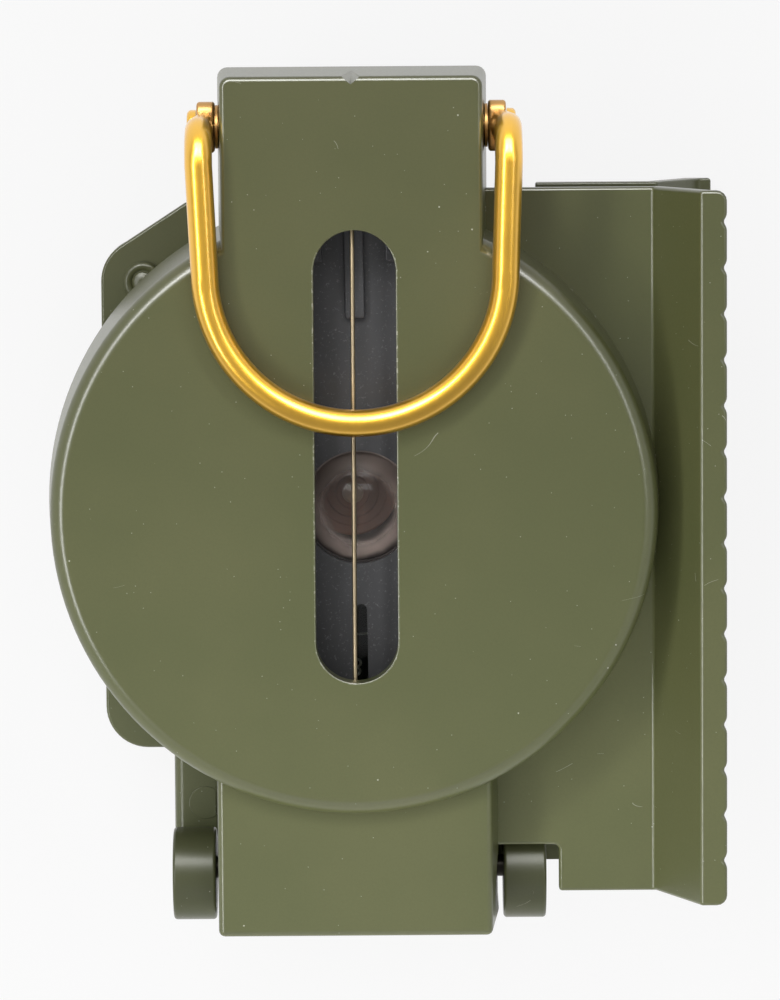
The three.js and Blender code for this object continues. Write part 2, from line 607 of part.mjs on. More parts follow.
function lidCover() {
  const edgeTop = CASE_HEIGHT - LID_FILLET;
  const cup = turned([
    [0, LID_EDGE],
    skirtPoint(0, LID_EDGE),
    skirtPoint(0, edgeTop),
    ...fillet(LID_RADIUS - LID_FILLET, edgeTop, LID_FILLET, 0, 90).slice(1),
    [0, CASE_HEIGHT],
  ]);
  const hollow = turned([
    [0, LID_EDGE - OVERCUT],
    skirtPoint(LID_WALL, LID_EDGE - OVERCUT),
    skirtPoint(LID_WALL, LID_INNER_TOP),
    [0, LID_INNER_TOP],
  ]);
  const tab = bar(-TAB_HALF_WIDTH, TAB_HALF_WIDTH, TAB_ROOT, TAB_END, LID_EDGE, CASE_HEIGHT);
  const innerHalf = TAB_HALF_WIDTH - LID_WALL;
  const innerEnd = TAB_END - LID_WALL;
  const tabHollow = bar(-innerHalf, innerHalf, TAB_ROOT, innerEnd, LID_EDGE - OVERCUT, LID_INNER_TOP);
  const notchFoot = TAB_END + (CASE_HEIGHT - LID_EDGE) * TAB_DRAFT;
  const sightNotch = polygon([
    [0, TAB_END - SIGHT_NOTCH_DEPTH],
    [SIGHT_NOTCH_WIDTH, notchFoot + SIGHT_NOTCH_DEPTH],
    [-SIGHT_NOTCH_WIDTH, notchFoot + SIGHT_NOTCH_DEPTH],
  ]);
  const reach = TAB_HALF_WIDTH + OVERCUT;
  const pinReach = BLOCK_HALF_WIDTH + OVERCUT;
  return cut(
    joined(solid(cup), solid(leaning(tab, TAB_DRAFT, CASE_HEIGHT)), lidHingeBlock(), lidWing()),
    solid(hollow),
    solid(tabHollow),
    windowCutter(),
    solid(plate(sightNotch, LID_EDGE - OVERCUT, CASE_HEIGHT + OVERCUT)),
    solid(crossBar(HINGE_PIN_RADIUS + PIN_GAP, -pinReach, pinReach, HINGE_Y, HINGE_Z)),
    solid(crossBar(SCREW_RADIUS + PIN_GAP, -reach, reach, LOOP_PIVOT_Y, LOOP_PIVOT_Z)),
  );
}

function sightWire() {
  const reach = ANCHOR_INSET - ANCHOR_RADIUS - SEAT_GAP;
  const z = LID_INNER_TOP - ANCHOR_HEIGHT / 2 - SEAT_GAP;
  const wire = column(WIRE_RADIUS, WINDOW_BACK - reach, WINDOW_FRONT + reach, WIRE_ROUND);
  return solid(wire.rotateX(-Math.PI / 2).translate(0, 0, z));
}

function wireAnchor(y) {
  const top = LID_INNER_TOP - SEAT_GAP;
  return columnAt([0, y], ANCHOR_RADIUS, top - ANCHOR_HEIGHT, top);
}

// Thumb loop: a bent wire with a flattened eye at each end.
function loopPath() {
  const onLeg = (side, y, z) => new THREE.Vector3(side * LOOP_HALF_WIDTH, y, z);
  const foot = (side) => onLeg(side, LOOP_PIVOT_Y, LOOP_PIVOT_Z + LOOP_LEG_START);
  const bendFoot = (side) => onLeg(side, LOOP_PIVOT_Y, LOOP_PLANE - LOOP_BEND);
  const elbow = (side) => onLeg(side, LOOP_PIVOT_Y, LOOP_PLANE);
  const bendHead = (side) => onLeg(side, LOOP_PIVOT_Y - LOOP_BEND, LOOP_PLANE);
  const onBow = (x, y) => {
    const point = new THREE.Vector3(x, y, 0).multiplyScalar(LOOP_BOW_RADIUS);
    return point.add(new THREE.Vector3(0, LOOP_BOW_START, LOOP_PLANE));
  };
  const quarter = (4 / 3) * (Math.SQRT2 - 1);
  const bowStart = (side) => onBow(side, 0);
  const bowSide = (side) => onBow(side, -quarter);
  const bowLow = (side) => onBow(side * quarter, -1);
  const bowEnd = onBow(0, -1);
  const path = new THREE.CurvePath();
  path.add(new THREE.LineCurve3(foot(-1), bendFoot(-1)));
  path.add(new THREE.QuadraticBezierCurve3(bendFoot(-1), elbow(-1), bendHead(-1)));
  path.add(new THREE.LineCurve3(bendHead(-1), bowStart(-1)));
  path.add(new THREE.CubicBezierCurve3(bowStart(-1), bowSide(-1), bowLow(-1), bowEnd));
  path.add(new THREE.CubicBezierCurve3(bowEnd, bowLow(1), bowSide(1), bowStart(1)));
  path.add(new THREE.LineCurve3(bowStart(1), bendHead(1)));
  path.add(new THREE.QuadraticBezierCurve3(bendHead(1), elbow(1), bendFoot(1)));
  path.add(new THREE.LineCurve3(bendFoot(1), foot(1)));
  return path;
}

function loopEye(side) {
  const outline = new THREE.Shape();
  const half = LOOP_TONGUE_WIDTH / 2;
  outline.absarc(LOOP_PIVOT_Y, LOOP_PIVOT_Z, LOOP_EYE_RADIUS, 0, Math.PI * 2, false);
  const [inner, outer] = spanOn(side, LOOP_EYE_INNER, LOOP_EYE_OUTER);
  const top = LOOP_PIVOT_Z + LOOP_TONGUE_LENGTH;
  const tongue = bar(inner, outer, LOOP_PIVOT_Y - half, LOOP_PIVOT_Y + half, LOOP_PIVOT_Z, top);
  return joined(solid(sideways(outline, inner, outer)), solid(tongue));
}

function thumbLoop() {
  const section = new THREE.Shape().absarc(0, 0, LOOP_WIRE_RADIUS, 0, Math.PI * 2, false);
  const settings = {
    steps: LOOP_STEPS,
    curveSegments: LOOP_SIDES,
    extrudePath: loopPath(),
    bevelEnabled: false,
  };
  const wire = solid(new THREE.ExtrudeGeometry(section, settings));
  const reach = LOOP_EYE_OUTER + OVERCUT;
  const bore = crossBar(SCREW_RADIUS + PIN_GAP, -reach, reach, LOOP_PIVOT_Y, LOOP_PIVOT_Z);
  return cut(joined(wire, loopEye(-1), loopEye(1)), solid(bore));
}

function loopScrew(side) {
  const tip = TAB_HALF_WIDTH - LID_WALL + SEAT_GAP;
  const head = LOOP_EYE_OUTER + SEAT_GAP;
  const end = head + SCREW_HEAD_THICK;
  const shank = solid(crossBar(SCREW_RADIUS, tip, head + SEAT_GAP, LOOP_PIVOT_Y, LOOP_PIVOT_Z));
  const cap = solid(crossBar(SCREW_HEAD_RADIUS, head, end, LOOP_PIVOT_Y, LOOP_PIVOT_Z));
  const half = SCREW_SLOT_WIDTH / 2;
  const slot = bar(
    end - SCREW_SLOT_DEPTH, end + OVERCUT,
    LOOP_PIVOT_Y - OVERCUT, LOOP_PIVOT_Y + OVERCUT,
    LOOP_PIVOT_Z - half, LOOP_PIVOT_Z + half,
  );
  const screw = cut(joined(shank, cap), solid(slot));
  return side > 0 ? screw : screw.mirror([1, 0, 0]);
}

// Lens arm: a plate with a hinge barrel, stiffening ribs, a lens seat and a sighting slit.
function armOutline() {
  const outline = new THREE.Shape();
  const corner = ARM_HALF_WIDTH - ARM_TIP_RADIUS;
  outline.moveTo(ARM_BARREL_HALF, ARM_PIVOT_Y);
  outline.lineTo(-ARM_BARREL_HALF, ARM_PIVOT_Y);
  outline.lineTo(-ARM_BARREL_HALF, ARM_SHOULDER);
  outline.lineTo(-ARM_HALF_WIDTH, ARM_SHOULDER);
  outline.absarc(-corner, ARM_TIP + ARM_TIP_RADIUS, ARM_TIP_RADIUS, Math.PI, (Math.PI * 3) / 2, false);
  outline.absarc(corner, ARM_TIP + ARM_TIP_RADIUS, ARM_TIP_RADIUS, (Math.PI * 3) / 2, Math.PI * 2, false);
  outline.lineTo(ARM_HALF_WIDTH, ARM_SHOULDER);
  outline.lineTo(ARM_BARREL_HALF, ARM_SHOULDER);
  return outline;
}

function slitCutter() {
  const half = SLIT_WIDTH / 2;
  const outline = new THREE.Shape();
  outline.absarc(0, SLIT_TOP - half, half, 0, Math.PI, false);
  outline.lineTo(-half, ARM_TIP - OVERCUT);
  outline.lineTo(half, ARM_TIP - OVERCUT);
  return solid(plate(outline, ARM_BOTTOM - OVERCUT, ARM_FACE + OVERCUT));
}

function lensArm() {
  const ribTop = ARM_FACE + ARM_RIB_HEIGHT;
  const root = ARM_FACE - ARM_PLATE / 2;
  const ribHalf = ARM_RIB_WIDTH / 2;
  const body = joined(
    solid(plate(armOutline(), ARM_BOTTOM, ARM_FACE)),
    solid(crossBar(ARM_BARREL_RADIUS, -ARM_BARREL_HALF, ARM_BARREL_HALF, ARM_PIVOT_Y, ARM_PIVOT_Z)),
    solid(bar(-ribHalf, ribHalf, ARM_RIB_FOOT, ARM_SHOULDER, root, ribTop)),
    solid(bar(CHEEK_INNER, ARM_HALF_WIDTH, CHEEK_FOOT, ARM_SHOULDER, root, ribTop)),
    solid(bar(-ARM_HALF_WIDTH, -CHEEK_INNER, CHEEK_FOOT, ARM_SHOULDER, root, ribTop)),
  );
  const lipBottom = ARM_FACE - LENS_LIP_THICK;
  const ringSeat = ARM_BOTTOM + LENS_RING_HEIGHT + SEAT_GAP * 2;
  const reach = ARM_BARREL_HALF + OVERCUT;
  return cut(
    body,
    solid(column(LENS_RADIUS + SEAT_GAP - LENS_LIP, ARM_BOTTOM - OVERCUT, ARM_FACE + OVERCUT, MID_ROUND)),
    solid(column(LENS_RADIUS + SEAT_GAP, ARM_BOTTOM - OVERCUT, lipBottom, MID_ROUND)),
    solid(column(LENS_RADIUS + LENS_SEAT_WIDTH, ARM_BOTTOM - OVERCUT, ringSeat, MID_ROUND)),
    slitCutter(),
    solid(crossBar(ARM_PIN_RADIUS + PIN_GAP, -reach, reach, ARM_PIVOT_Y, ARM_PIVOT_Z)),
  );
}

function lens() {
  const rimTop = ARM_FACE - LENS_LIP_THICK - SEAT_GAP;
  const sphere = (LENS_DOME_RADIUS ** 2 + LENS_DOME_HEIGHT ** 2) / (2 * LENS_DOME_HEIGHT);
  const start = Math.asin(LENS_DOME_RADIUS / sphere);
  const dome = Array.from({ length: LENS_STEPS + 1 }, (_, step) => {
    const angle = start * (1 - step / LENS_STEPS);
    return [sphere * Math.sin(angle), rimTop + LENS_DOME_HEIGHT - sphere * (1 - Math.cos(angle))];
  });
  const rimBottom = rimTop - LENS_RIM_THICK;
  const rim = [[0, rimBottom], [LENS_RADIUS, rimBottom], [LENS_RADIUS, rimTop]];
  return solid(turned([...rim, ...dome], MID_ROUND));
}

function lensRing() {
  const bottom = ARM_BOTTOM + SEAT_GAP / 2;
  const outer = LENS_RADIUS + LENS_SEAT_WIDTH - SEAT_GAP;
  return solid(ring(LENS_RING_BORE, outer, bottom, bottom + LENS_RING_HEIGHT));
}

// Bezel: a toothed ring that turns on the bowl's rim and carries a crystal with a luminous line.
function bezelRing() {
  const outline = new THREE.Shape();
  for (let step = 0; step < BEZEL_TEETH * 2; step += 1) {
    const radius = step % 2 ? BEZEL_RADIUS - BEZEL_TOOTH : BEZEL_RADIUS;
    const angle = (Math.PI * step) / BEZEL_TEETH;
    outline[step ? 'lineTo' : 'moveTo'](radius * Math.cos(angle), radius * Math.sin(angle));
  }
  const spigotBottom = SPRING_BOTTOM + SPRING_THICK + SEAT_GAP;
  const spigot = column(BOWL_BORE - RUN_GAP, spigotBottom, BEZEL_SEAT + SEAT_GAP);
  const under = spigotBottom - OVERCUT;
  const rebate = column(BEZEL_CRYSTAL_RADIUS + SEAT_GAP, under, BEZEL_TOP - BEZEL_LIP_THICK);
  return cut(
    joined(solid(plate(outline, BEZEL_SEAT, BEZEL_TOP)), solid(spigot)),
    solid(rebate),
    solid(column(BEZEL_BORE, under, BEZEL_TOP + OVERCUT)),
  );
}

function bezelCrystal() {
  return solid(column(BEZEL_CRYSTAL_RADIUS, BEZEL_CRYSTAL_BOTTOM, BEZEL_CRYSTAL_TOP));
}

function marchingLine() {
  const top = BEZEL_CRYSTAL_BOTTOM - SEAT_GAP;
  const half = LINE_WIDTH / 2;
  return solid(bar(-half, half, LINE_INNER, BEZEL_BORE - LINE_MARGIN, top - LINE_THICK, top));
}

// Capsule: a cup closed by a sealed crystal, with the dial on its needle inside.
function capsuleCup() {
  const inner = CAPSULE_RADIUS - CAPSULE_WALL;
  return solid(turned([
    [0, CAPSULE_BOTTOM],
    [CAPSULE_RADIUS, CAPSULE_BOTTOM],
    [CAPSULE_RADIUS, CAPSULE_CUP_RIM],
    [inner, CAPSULE_CUP_RIM],
    [inner, CAPSULE_FLOOR],
    [0, CAPSULE_FLOOR],
  ]));
}

function capsuleSeal() {
  const outer = CAPSULE_RADIUS - SEAT_GAP;
  return solid(ring(outer - SEAL_WIDTH, outer, SEAL_BOTTOM, SEAL_BOTTOM + SEAL_THICK));
}

function bezelSpring() {
  const outer = CAPSULE_RADIUS - SEAT_GAP;
  return solid(ring(outer - SPRING_WIDTH, outer, SPRING_BOTTOM, SPRING_BOTTOM + SPRING_THICK));
}

function capsuleCrystal() {
  return solid(column(CAPSULE_RADIUS, CAPSULE_CRYSTAL_BOTTOM, CAPSULE_CRYSTAL_TOP));
}

function pivotNeedle() {
  const foot = CAPSULE_FLOOR + SEAT_GAP;
  const tip = DIAL_TOP;
  return solid(turned([
    [0, foot],
    [NEEDLE_FOOT_RADIUS, foot],
    [NEEDLE_FOOT_RADIUS, foot + NEEDLE_FOOT_THICK],
    [NEEDLE_RADIUS, foot + NEEDLE_FOOT_THICK],
    [NEEDLE_RADIUS, tip - NEEDLE_CONE],
    [NEEDLE_TIP_RADIUS, tip],
    [0, tip],
  ], SMALL_ROUND));
}

function jewelCap() {
  const seat = DIAL_TOP + SEAT_GAP;
  const stemBottom = seat - JEWEL_STEM_LENGTH;
  return solid(turned([
    [0, stemBottom + JEWEL_CUP_DEPTH],
    [JEWEL_CUP, stemBottom],
    [JEWEL_STEM, stemBottom],
    [JEWEL_STEM, seat],
    [JEWEL_FLANGE, seat],
    [JEWEL_FLANGE, seat + JEWEL_FLANGE_THICK],
    [JEWEL_STEM, seat + JEWEL_FLANGE_THICK + JEWEL_DOME_HEIGHT / 2],
    [0, seat + JEWEL_FLANGE_THICK + JEWEL_DOME_HEIGHT],
  ], SMALL_ROUND));
}

function dialCard() {
  const card = solid(column(DIAL_RADIUS, DIAL_BOTTOM, DIAL_TOP));
  return cut(card, columnAt([0, 0], JEWEL_STEM + SEAT_GAP, 0, CASE_HEIGHT));
}

function dialMagnet() {
  const top = DIAL_BOTTOM - SEAT_GAP;
  const [half, width] = [MAGNET_LENGTH / 2, MAGNET_WIDTH / 2];
  const stick = solid(bar(-width, width, -half, half, top - MAGNET_THICK, top));
  return cut(stick, columnAt([0, 0], JEWEL_STEM + RUN_GAP, top - MAGNET_THICK - OVERCUT, top + OVERCUT));
}

// A group of meshes that move together.
function group(...meshes) {
  const body = new THREE.Group();
  body.add(...meshes);
  return body;
}

const pinEnd = KNUCKLE_OUTER - SEAT_GAP;
const earEnd = EAR_INNER + EAR_WIDTH - SEAT_GAP;
const base = group(
  piece('base_frame', baseFrame(), OLIVE_PAINT),
  piece('bottom_cover', bottomCover(), OLIVE_PAINT),
  ...LUGS.map((lug, at) => piece(`flange_rivet_${at + 1}`, flangeRivet(lug), OLIVE_PAINT)),
  piece('lid_hinge_pin', solid(crossBar(HINGE_PIN_RADIUS, -pinEnd, pinEnd, HINGE_Y, HINGE_Z)), STEEL),
  piece('arm_hinge_pin', solid(crossBar(ARM_PIN_RADIUS, -earEnd, earEnd, ARM_PIVOT_Y, ARM_PIVOT_Z)), STEEL),
  piece('capsule_cup', capsuleCup(), BLACK_PLASTIC),
  piece('capsule_seal', capsuleSeal(), RUBBER),
  piece('capsule_crystal', capsuleCrystal(), CLEAR),
  piece('bezel_spring', bezelSpring(), STEEL),
  piece('pivot_needle', pivotNeedle(), STEEL),
);
const lid = group(
  piece('lid_cover', lidCover(), OLIVE_PAINT),
  piece('sight_wire', sightWire(), BRASS),
  piece('wire_anchor_front', wireAnchor(WINDOW_FRONT + ANCHOR_INSET), BRASS),
  piece('wire_anchor_rear', wireAnchor(WINDOW_BACK - ANCHOR_INSET), BRASS),
  piece('loop_screw_left', loopScrew(-1), BRASS),
  piece('loop_screw_right', loopScrew(1), BRASS),
);
const loop = group(piece('thumb_loop', thumbLoop(), BRASS));
const arm = group(
  piece('lens_arm', lensArm(), BLACK_PLASTIC),
  piece('lens', lens(), CLEAR),
  piece('lens_ring', lensRing(), BLACK_PLASTIC),
);
const bezel = group(
  piece('bezel_ring', bezelRing(), OLIVE_PAINT),
  piece('bezel_crystal', bezelCrystal(), CLEAR),
  piece('marching_line', marchingLine(), GLOW_PAINT),
);
const dial = group(
  piece('dial_card', dialCard(), DIAL_BLACK),
  piece('dial_magnet', dialMagnet(), STEEL),
  piece('jewel_cap', jewelCap(), COPPER),
);

const compass = group(base, lid, loop, arm, bezel, dial);
compass.name = 'pocket_compass';

export default compass;
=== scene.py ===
"""A folding pocket compass with a brass thumb loop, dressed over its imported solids.

Sizes are in millimetres, +Z up and +Y towards the thumb loop, with the origin on the dial's axis.
Pieces are shaped in millimetres on the bench and brought to metres when they are finished.
"""
import logging
import math
from collections.abc import Callable, Iterable, Sequence
from dataclasses import dataclass
from enum import Enum

import bpy
from mathutils import Matrix, Vector


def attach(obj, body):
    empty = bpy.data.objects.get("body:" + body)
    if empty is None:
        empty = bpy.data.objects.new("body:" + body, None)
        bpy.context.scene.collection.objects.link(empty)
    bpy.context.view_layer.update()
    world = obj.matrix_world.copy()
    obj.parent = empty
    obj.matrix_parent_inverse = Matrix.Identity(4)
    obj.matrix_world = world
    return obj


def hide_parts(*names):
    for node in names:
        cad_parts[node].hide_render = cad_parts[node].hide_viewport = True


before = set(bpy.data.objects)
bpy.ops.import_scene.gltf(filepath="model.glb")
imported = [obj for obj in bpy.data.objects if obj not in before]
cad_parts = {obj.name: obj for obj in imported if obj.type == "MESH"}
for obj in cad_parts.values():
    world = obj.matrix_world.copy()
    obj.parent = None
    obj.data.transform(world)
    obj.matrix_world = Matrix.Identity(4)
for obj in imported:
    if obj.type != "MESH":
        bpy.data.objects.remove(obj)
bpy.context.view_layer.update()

log = logging.getLogger("pocket_compass")

MM = 0.001
FULL_TURN = 2 * math.pi
SIDES = 144
LENS_SIDES = 96
SMALL_SIDES = 48
OVERCUT = 2.0  # how far a cutter passes the face that it opens
TOUCH = 0.01  # what counts as lying on a plane
NEAR = 0.1  # how far round an edge a selection looks
ONE_PLANE = math.radians(0.2)  # faces that turn by less lie in one plane
UP = Vector((0, 0, 1))

Spot = tuple[float, float, float]
Flat = tuple[float, float]
Colour = tuple[float, float, float, float]

LID_HINGE: Flat = (-33.2, 13.0)  # the lid's hinge, in Y and Z
ARM_HINGE: Flat = (30.6, 18.9)  # the lens arm's hinge, in Y and Z
LOOP_PIVOT: Flat = (33.5, 19.6)  # the thumb loop's screws, in Y and Z
LUG: Flat = (18.9, 19.28)  # the rivets of the flange, in X and Y


class Part(Enum):
    """What a selection on a mesh is made of."""

    POINT = (True, False, False)
    EDGE = (False, True, False)
    FACE = (False, False, True)


class Axis(Enum):
    """The axis that a drum stands on, as the turn that brings it there from Z."""

    X = (0.0, math.pi / 2, 0.0)
    Y = (math.pi / 2, 0.0, 0.0)
    Z = (0.0, 0.0, 0.0)


class Join(Enum):
    """How a second mesh changes the first."""

    ADD = "UNION"
    CUT = "DIFFERENCE"
    KEEP = "INTERSECT"


def clear_bench() -> None:
    """Leaves edit mode and selects nothing."""
    if bpy.context.object and bpy.context.object.mode != "OBJECT":
        bpy.ops.object.mode_set(mode="OBJECT")
    bpy.ops.object.select_all(action="DESELECT")


def arc(centre: Flat, radius: float, start: float, end: float, steps: int) -> list[Flat]:
    """Points of a flat arc.

    Args:
        centre: the arc's centre.
        radius: its radius.
        start: its first angle in degrees.
        end: its last angle in degrees.
        steps: how many pieces it is cut into.

    Returns:
        The points from the first angle to the last.
    """
    turns = [math.radians(start + (end - start) * step / steps) for step in range(steps + 1)]
    return [(centre[0] + radius * math.cos(turn), centre[1] + radius * math.sin(turn)) for turn in turns]


def four_corners(place: Flat) -> list[Flat]:
    """A place and its mirror images, the left one at the loop's end first."""
    x, y = place
    return [(-x, y), (x, y), (-x, -y), (x, -y)]


class Blank:
    """A mesh on the bench, in millimetres until it is finished."""

    def __init__(self, name: str) -> None:
        """Takes the primitive that was just added, with its place moved into its mesh.

        Args:
            name: the piece's name.
        """
        self.obj = bpy.context.object
        self.obj.name = name
        bpy.ops.object.transform_apply(location=True, rotation=True, scale=True)

    @classmethod
    def box(cls, name: str, low: Spot, high: Spot) -> "Blank":
        """A block between two corners.

        Args:
            name: the piece's name.
            low: its lowest corner.
            high: its highest corner.

        Returns:
            The block.
        """
        clear_bench()
        middle = [(a + b) / 2 for a, b in zip(low, high)]
        size = [b - a for a, b in zip(low, high)]
        bpy.ops.mesh.primitive_cube_add(size=1, location=middle, scale=size)
        return cls(name)

    @classmethod
    def drum(cls, name: str, radius: float, low: float, high: float, far: float | None = None,
             place: Spot = (0, 0, 0), axis: Axis = Axis.Z, sides: int = SIDES) -> "Blank":
        """A round block, straight or leaning.

        Args:
            name: the piece's name.
            radius: its radius at the low end.
            low: where it starts along its axis.
            high: where it ends along its axis.
            far: its radius at the high end, if that differs.
            place: a point on its axis, to which the ends are added.
            axis: the axis it stands on.
            sides: how many sides it has.

        Returns:
            The drum.
        """
        clear_bench()
        shift = {Axis.X: (1, 0, 0), Axis.Y: (0, 1, 0), Axis.Z: (0, 0, 1)}[axis]
        middle = Vector(place) + Vector(shift) * (low + high) / 2
        bpy.ops.mesh.primitive_cone_add(
            vertices=sides, radius1=radius, radius2=radius if far is None else far,
            depth=high - low, location=middle, rotation=axis.value)
        return cls(name)

    @classmethod
    def rod(cls, name: str, radius: float, half: float, place: Flat, sides: int = SMALL_SIDES) -> "Blank":
        """A drum across the case, as long on the left as on the right, at a place in Y and Z."""
        return cls.drum(name, radius, -half, half, None, (0, *place), Axis.X, sides)

    @classmethod
    def post(cls, name: str, radius: float, low: float, high: float, place: Flat = (0, 0),
             sides: int = SMALL_SIDES) -> "Blank":
        """An upright drum between two heights, at a place in X and Y."""
        return cls.drum(name, radius, low, high, None, (*place, 0), Axis.Z, sides)

    @classmethod
    def line(cls, name: str, points: Sequence[Spot]) -> "Blank":
        """A line drawn by extruding one point to the next.

        Args:
            name: the piece's name.
            points: the points it runs through.

        Returns:
            The line, open in edit mode with its last point selected.
        """
        clear_bench()
        bpy.ops.mesh.primitive_plane_add(size=1, location=points[0])
        blank = cls(name)
        blank._open_whole()
        bpy.ops.mesh.merge(type="CENTER")
        for start, end in zip(points, points[1:]):
            blank.extrude(Vector(end) - Vector(start))
        return blank

    @classmethod
    def prism(cls, name: str, points: Sequence[Spot], depth: Spot) -> "Blank":
        """A flat outline pushed out to a solid.

        Args:
            name: the piece's name.
            points: the corners of the outline.
            depth: how far and which way it is pushed.

        Returns:
            The solid.
        """
        blank = cls.line(name, [*points, points[0]])
        bpy.ops.mesh.select_all(action="SELECT")
        bpy.ops.mesh.remove_doubles(threshold=TOUCH / 10)
        bpy.ops.mesh.edge_face_add()
        return blank.extrude(depth).tidy()

    @classmethod
    def turned(cls, name: str, profile: Sequence[Flat], sides: int = SIDES, place: Flat = (0, 0),
               closed: bool = False) -> "Blank":
        """A form turned about an upright axis.

        Args:
            name: the piece's name.
            profile: pairs of radius and height.
            sides: how many steps the turn has.
            place: where the axis stands.
            closed: whether the profile ends where it starts.

        Returns:
            The form.
        """
        ends = [*profile, profile[0]] if closed else profile
        blank = cls.line(name, [(place[0] + radius, place[1], height) for radius, height in ends])
        bpy.ops.mesh.select_all(action="SELECT")
        bpy.ops.mesh.spin(steps=sides, angle=FULL_TURN, center=(*place, 0), axis=UP)
        return blank.tidy()

    def _pick(self) -> None:
        """Makes this the only piece in hand."""
        clear_bench()
        self.obj.select_set(True)
        bpy.context.view_layer.objects.active = self.obj

    def _open(self, part: Part) -> None:
        """Opens the mesh in edit mode.

        Args:
            part: what a selection is made of.
        """
        self._pick()
        bpy.context.tool_settings.mesh_select_mode = part.value
        bpy.ops.object.mode_set(mode="EDIT")

    def _open_whole(self) -> None:
        """Opens the mesh with all of it selected."""
        self._open(Part.POINT)
        bpy.ops.mesh.select_all(action="SELECT")

    def _choose(self, part: Part, chosen: Iterable[int]) -> "Blank":
        """Opens the mesh with only the chosen points, edges or faces selected.

        Args:
            part: what is selected.
            chosen: the numbers of the parts to select.

        Returns:
            The same blank.
        """
        clear_bench()
        mesh = self.obj.data
        for kind in (mesh.vertices, mesh.edges, mesh.polygons):
            kind.foreach_set("select", [False] * len(kind))
        kinds = {Part.POINT: mesh.vertices, Part.EDGE: mesh.edges, Part.FACE: mesh.polygons}
        for number in chosen:
            kinds[part][number].select = True
        self._open(part)
        return self

    def points(self, test: Callable[[Vector], bool]) -> "Blank":
        """Selects the points that pass a test on their place."""
        clear_bench()
        return self._choose(Part.POINT, [v.index for v in self.obj.data.vertices if test(v.co)])

    def edges(self, test: Callable[[Vector, Vector], bool]) -> "Blank":
        """Selects edges.

        Args:
            test: a test on an edge's two ends.

        Returns:
            The same blank.
        """
        clear_bench()
        spots = self.obj.data.vertices
        ends = [[spots[number].co for number in edge.vertices] for edge in self.obj.data.edges]
        return self._choose(Part.EDGE, [number for number, (a, b) in enumerate(ends) if test(a, b)])

    def faces(self, test: Callable[[Vector, Vector], bool]) -> "Blank":
        """Selects the faces that pass a test on their middle and their normal."""
        clear_bench()
        return self._choose(Part.FACE, [f.index for f in self.obj.data.polygons if test(f.center, f.normal)])

    def move(self, step: Spot) -> "Blank":
        """Moves what is selected and closes the mesh.

        Args:
            step: how far and which way it goes.

        Returns:
            The same blank.
        """
        bpy.ops.transform.translate(value=step)
        clear_bench()
        return self

    def turn(self, angle: float, axis: str, centre: Spot) -> "Blank":
        """Turns what is selected about an axis through a point, by an angle in degrees."""
        bpy.ops.transform.rotate(value=-math.radians(angle), orient_axis=axis, center_override=centre)
        return self

    def resize(self, factor: Spot, centre: Spot) -> "Blank":
        """Scales what is selected about a point."""
        bpy.ops.transform.resize(value=factor, center_override=centre)
        return self

    def extrude(self, step: Spot | Vector) -> "Blank":
        """Pushes what is selected out into new faces."""
        bpy.ops.mesh.extrude_region_move(TRANSFORM_OT_translate={"value": step})
        return self

    def sweep(self, angle: float, centre: Spot, axis: Spot, steps: int) -> "Blank":
        """Pushes what is selected round an axis, by an angle in degrees."""
        bpy.ops.mesh.spin(steps=steps, angle=-math.radians(angle), center=centre, axis=axis)
        return self

    def bevel(self, width: float, segments: int = 3) -> "Blank":
        """Rounds the selected edges and closes the mesh.

        Args:
            width: how far the round reaches.
            segments: how many faces it has across.

        Returns:
            The same blank.
        """
        bpy.ops.mesh.bevel(offset=width, segments=segments, affect="EDGES", clamp_overlap=False)
        clear_bench()
        return self

    def tidy(self) -> "Blank":
        """Merges doubles, joins faces that lie in one plane and turns the normals out.

        Returns:
            The same blank.
        """
        self._open_whole()
        bpy.ops.mesh.remove_doubles(threshold=TOUCH / 2)
        bpy.ops.mesh.dissolve_limited(angle_limit=ONE_PLANE)
        bpy.ops.mesh.normals_make_consistent(inside=False)
        clear_bench()
        return self

    def _apply(self, kind: str, **settings: object) -> "Blank":
        """Adds one modifier, sets it and applies it.

        Args:
            kind: the modifier's type.
            settings: its settings.

        Returns:
            The same blank.
        """
        self._pick()
        bpy.ops.object.modifier_add(type=kind)
        modifier = self.obj.modifiers[-1]
        for setting, value in settings.items():
            setattr(modifier, setting, value)
        bpy.ops.object.modifier_apply(modifier=modifier.name)
        return self

    def soften(self, width: float, segments: int = 3, angle: float = 30) -> "Blank":
        """Rounds every edge that turns by more than an angle in degrees."""
        return self._apply("BEVEL", width=width, segments=segments, limit_method="ANGLE",
                           angle_limit=math.radians(angle), use_clamp_overlap=False)

    def combine(self, join: Join, *others: "Blank") -> "Blank":
        """Joins other meshes to this one or cuts them from it, and uses them up.

        Args:
            join: how they change it.
            others: the meshes, which are removed.

        Returns:
            The same blank.
        """
        for other in others:
            self._apply("BOOLEAN", operation=join.value, solver="EXACT", object=other.obj)
            bpy.data.objects.remove(other.obj)
        return self

    def twin(self, name: str, shift: Spot = (0, 0, 0), flip: bool = False) -> "Blank":
        """A copy with its own mesh.

        Args:
            name: the copy's name.
            shift: how far it is moved.
            flip: whether it is mirrored to the other side of the middle plane.

        Returns:
            The copy.
        """
        self._pick()
        bpy.ops.object.duplicate(linked=False)
        bpy.context.object.location = shift
        bpy.context.object.scale = (-1 if flip else 1, 1, 1)
        copy = Blank(name)
        if flip:
            copy._open_whole()
            bpy.ops.mesh.normals_make_consistent(inside=False)
            clear_bench()
        return copy

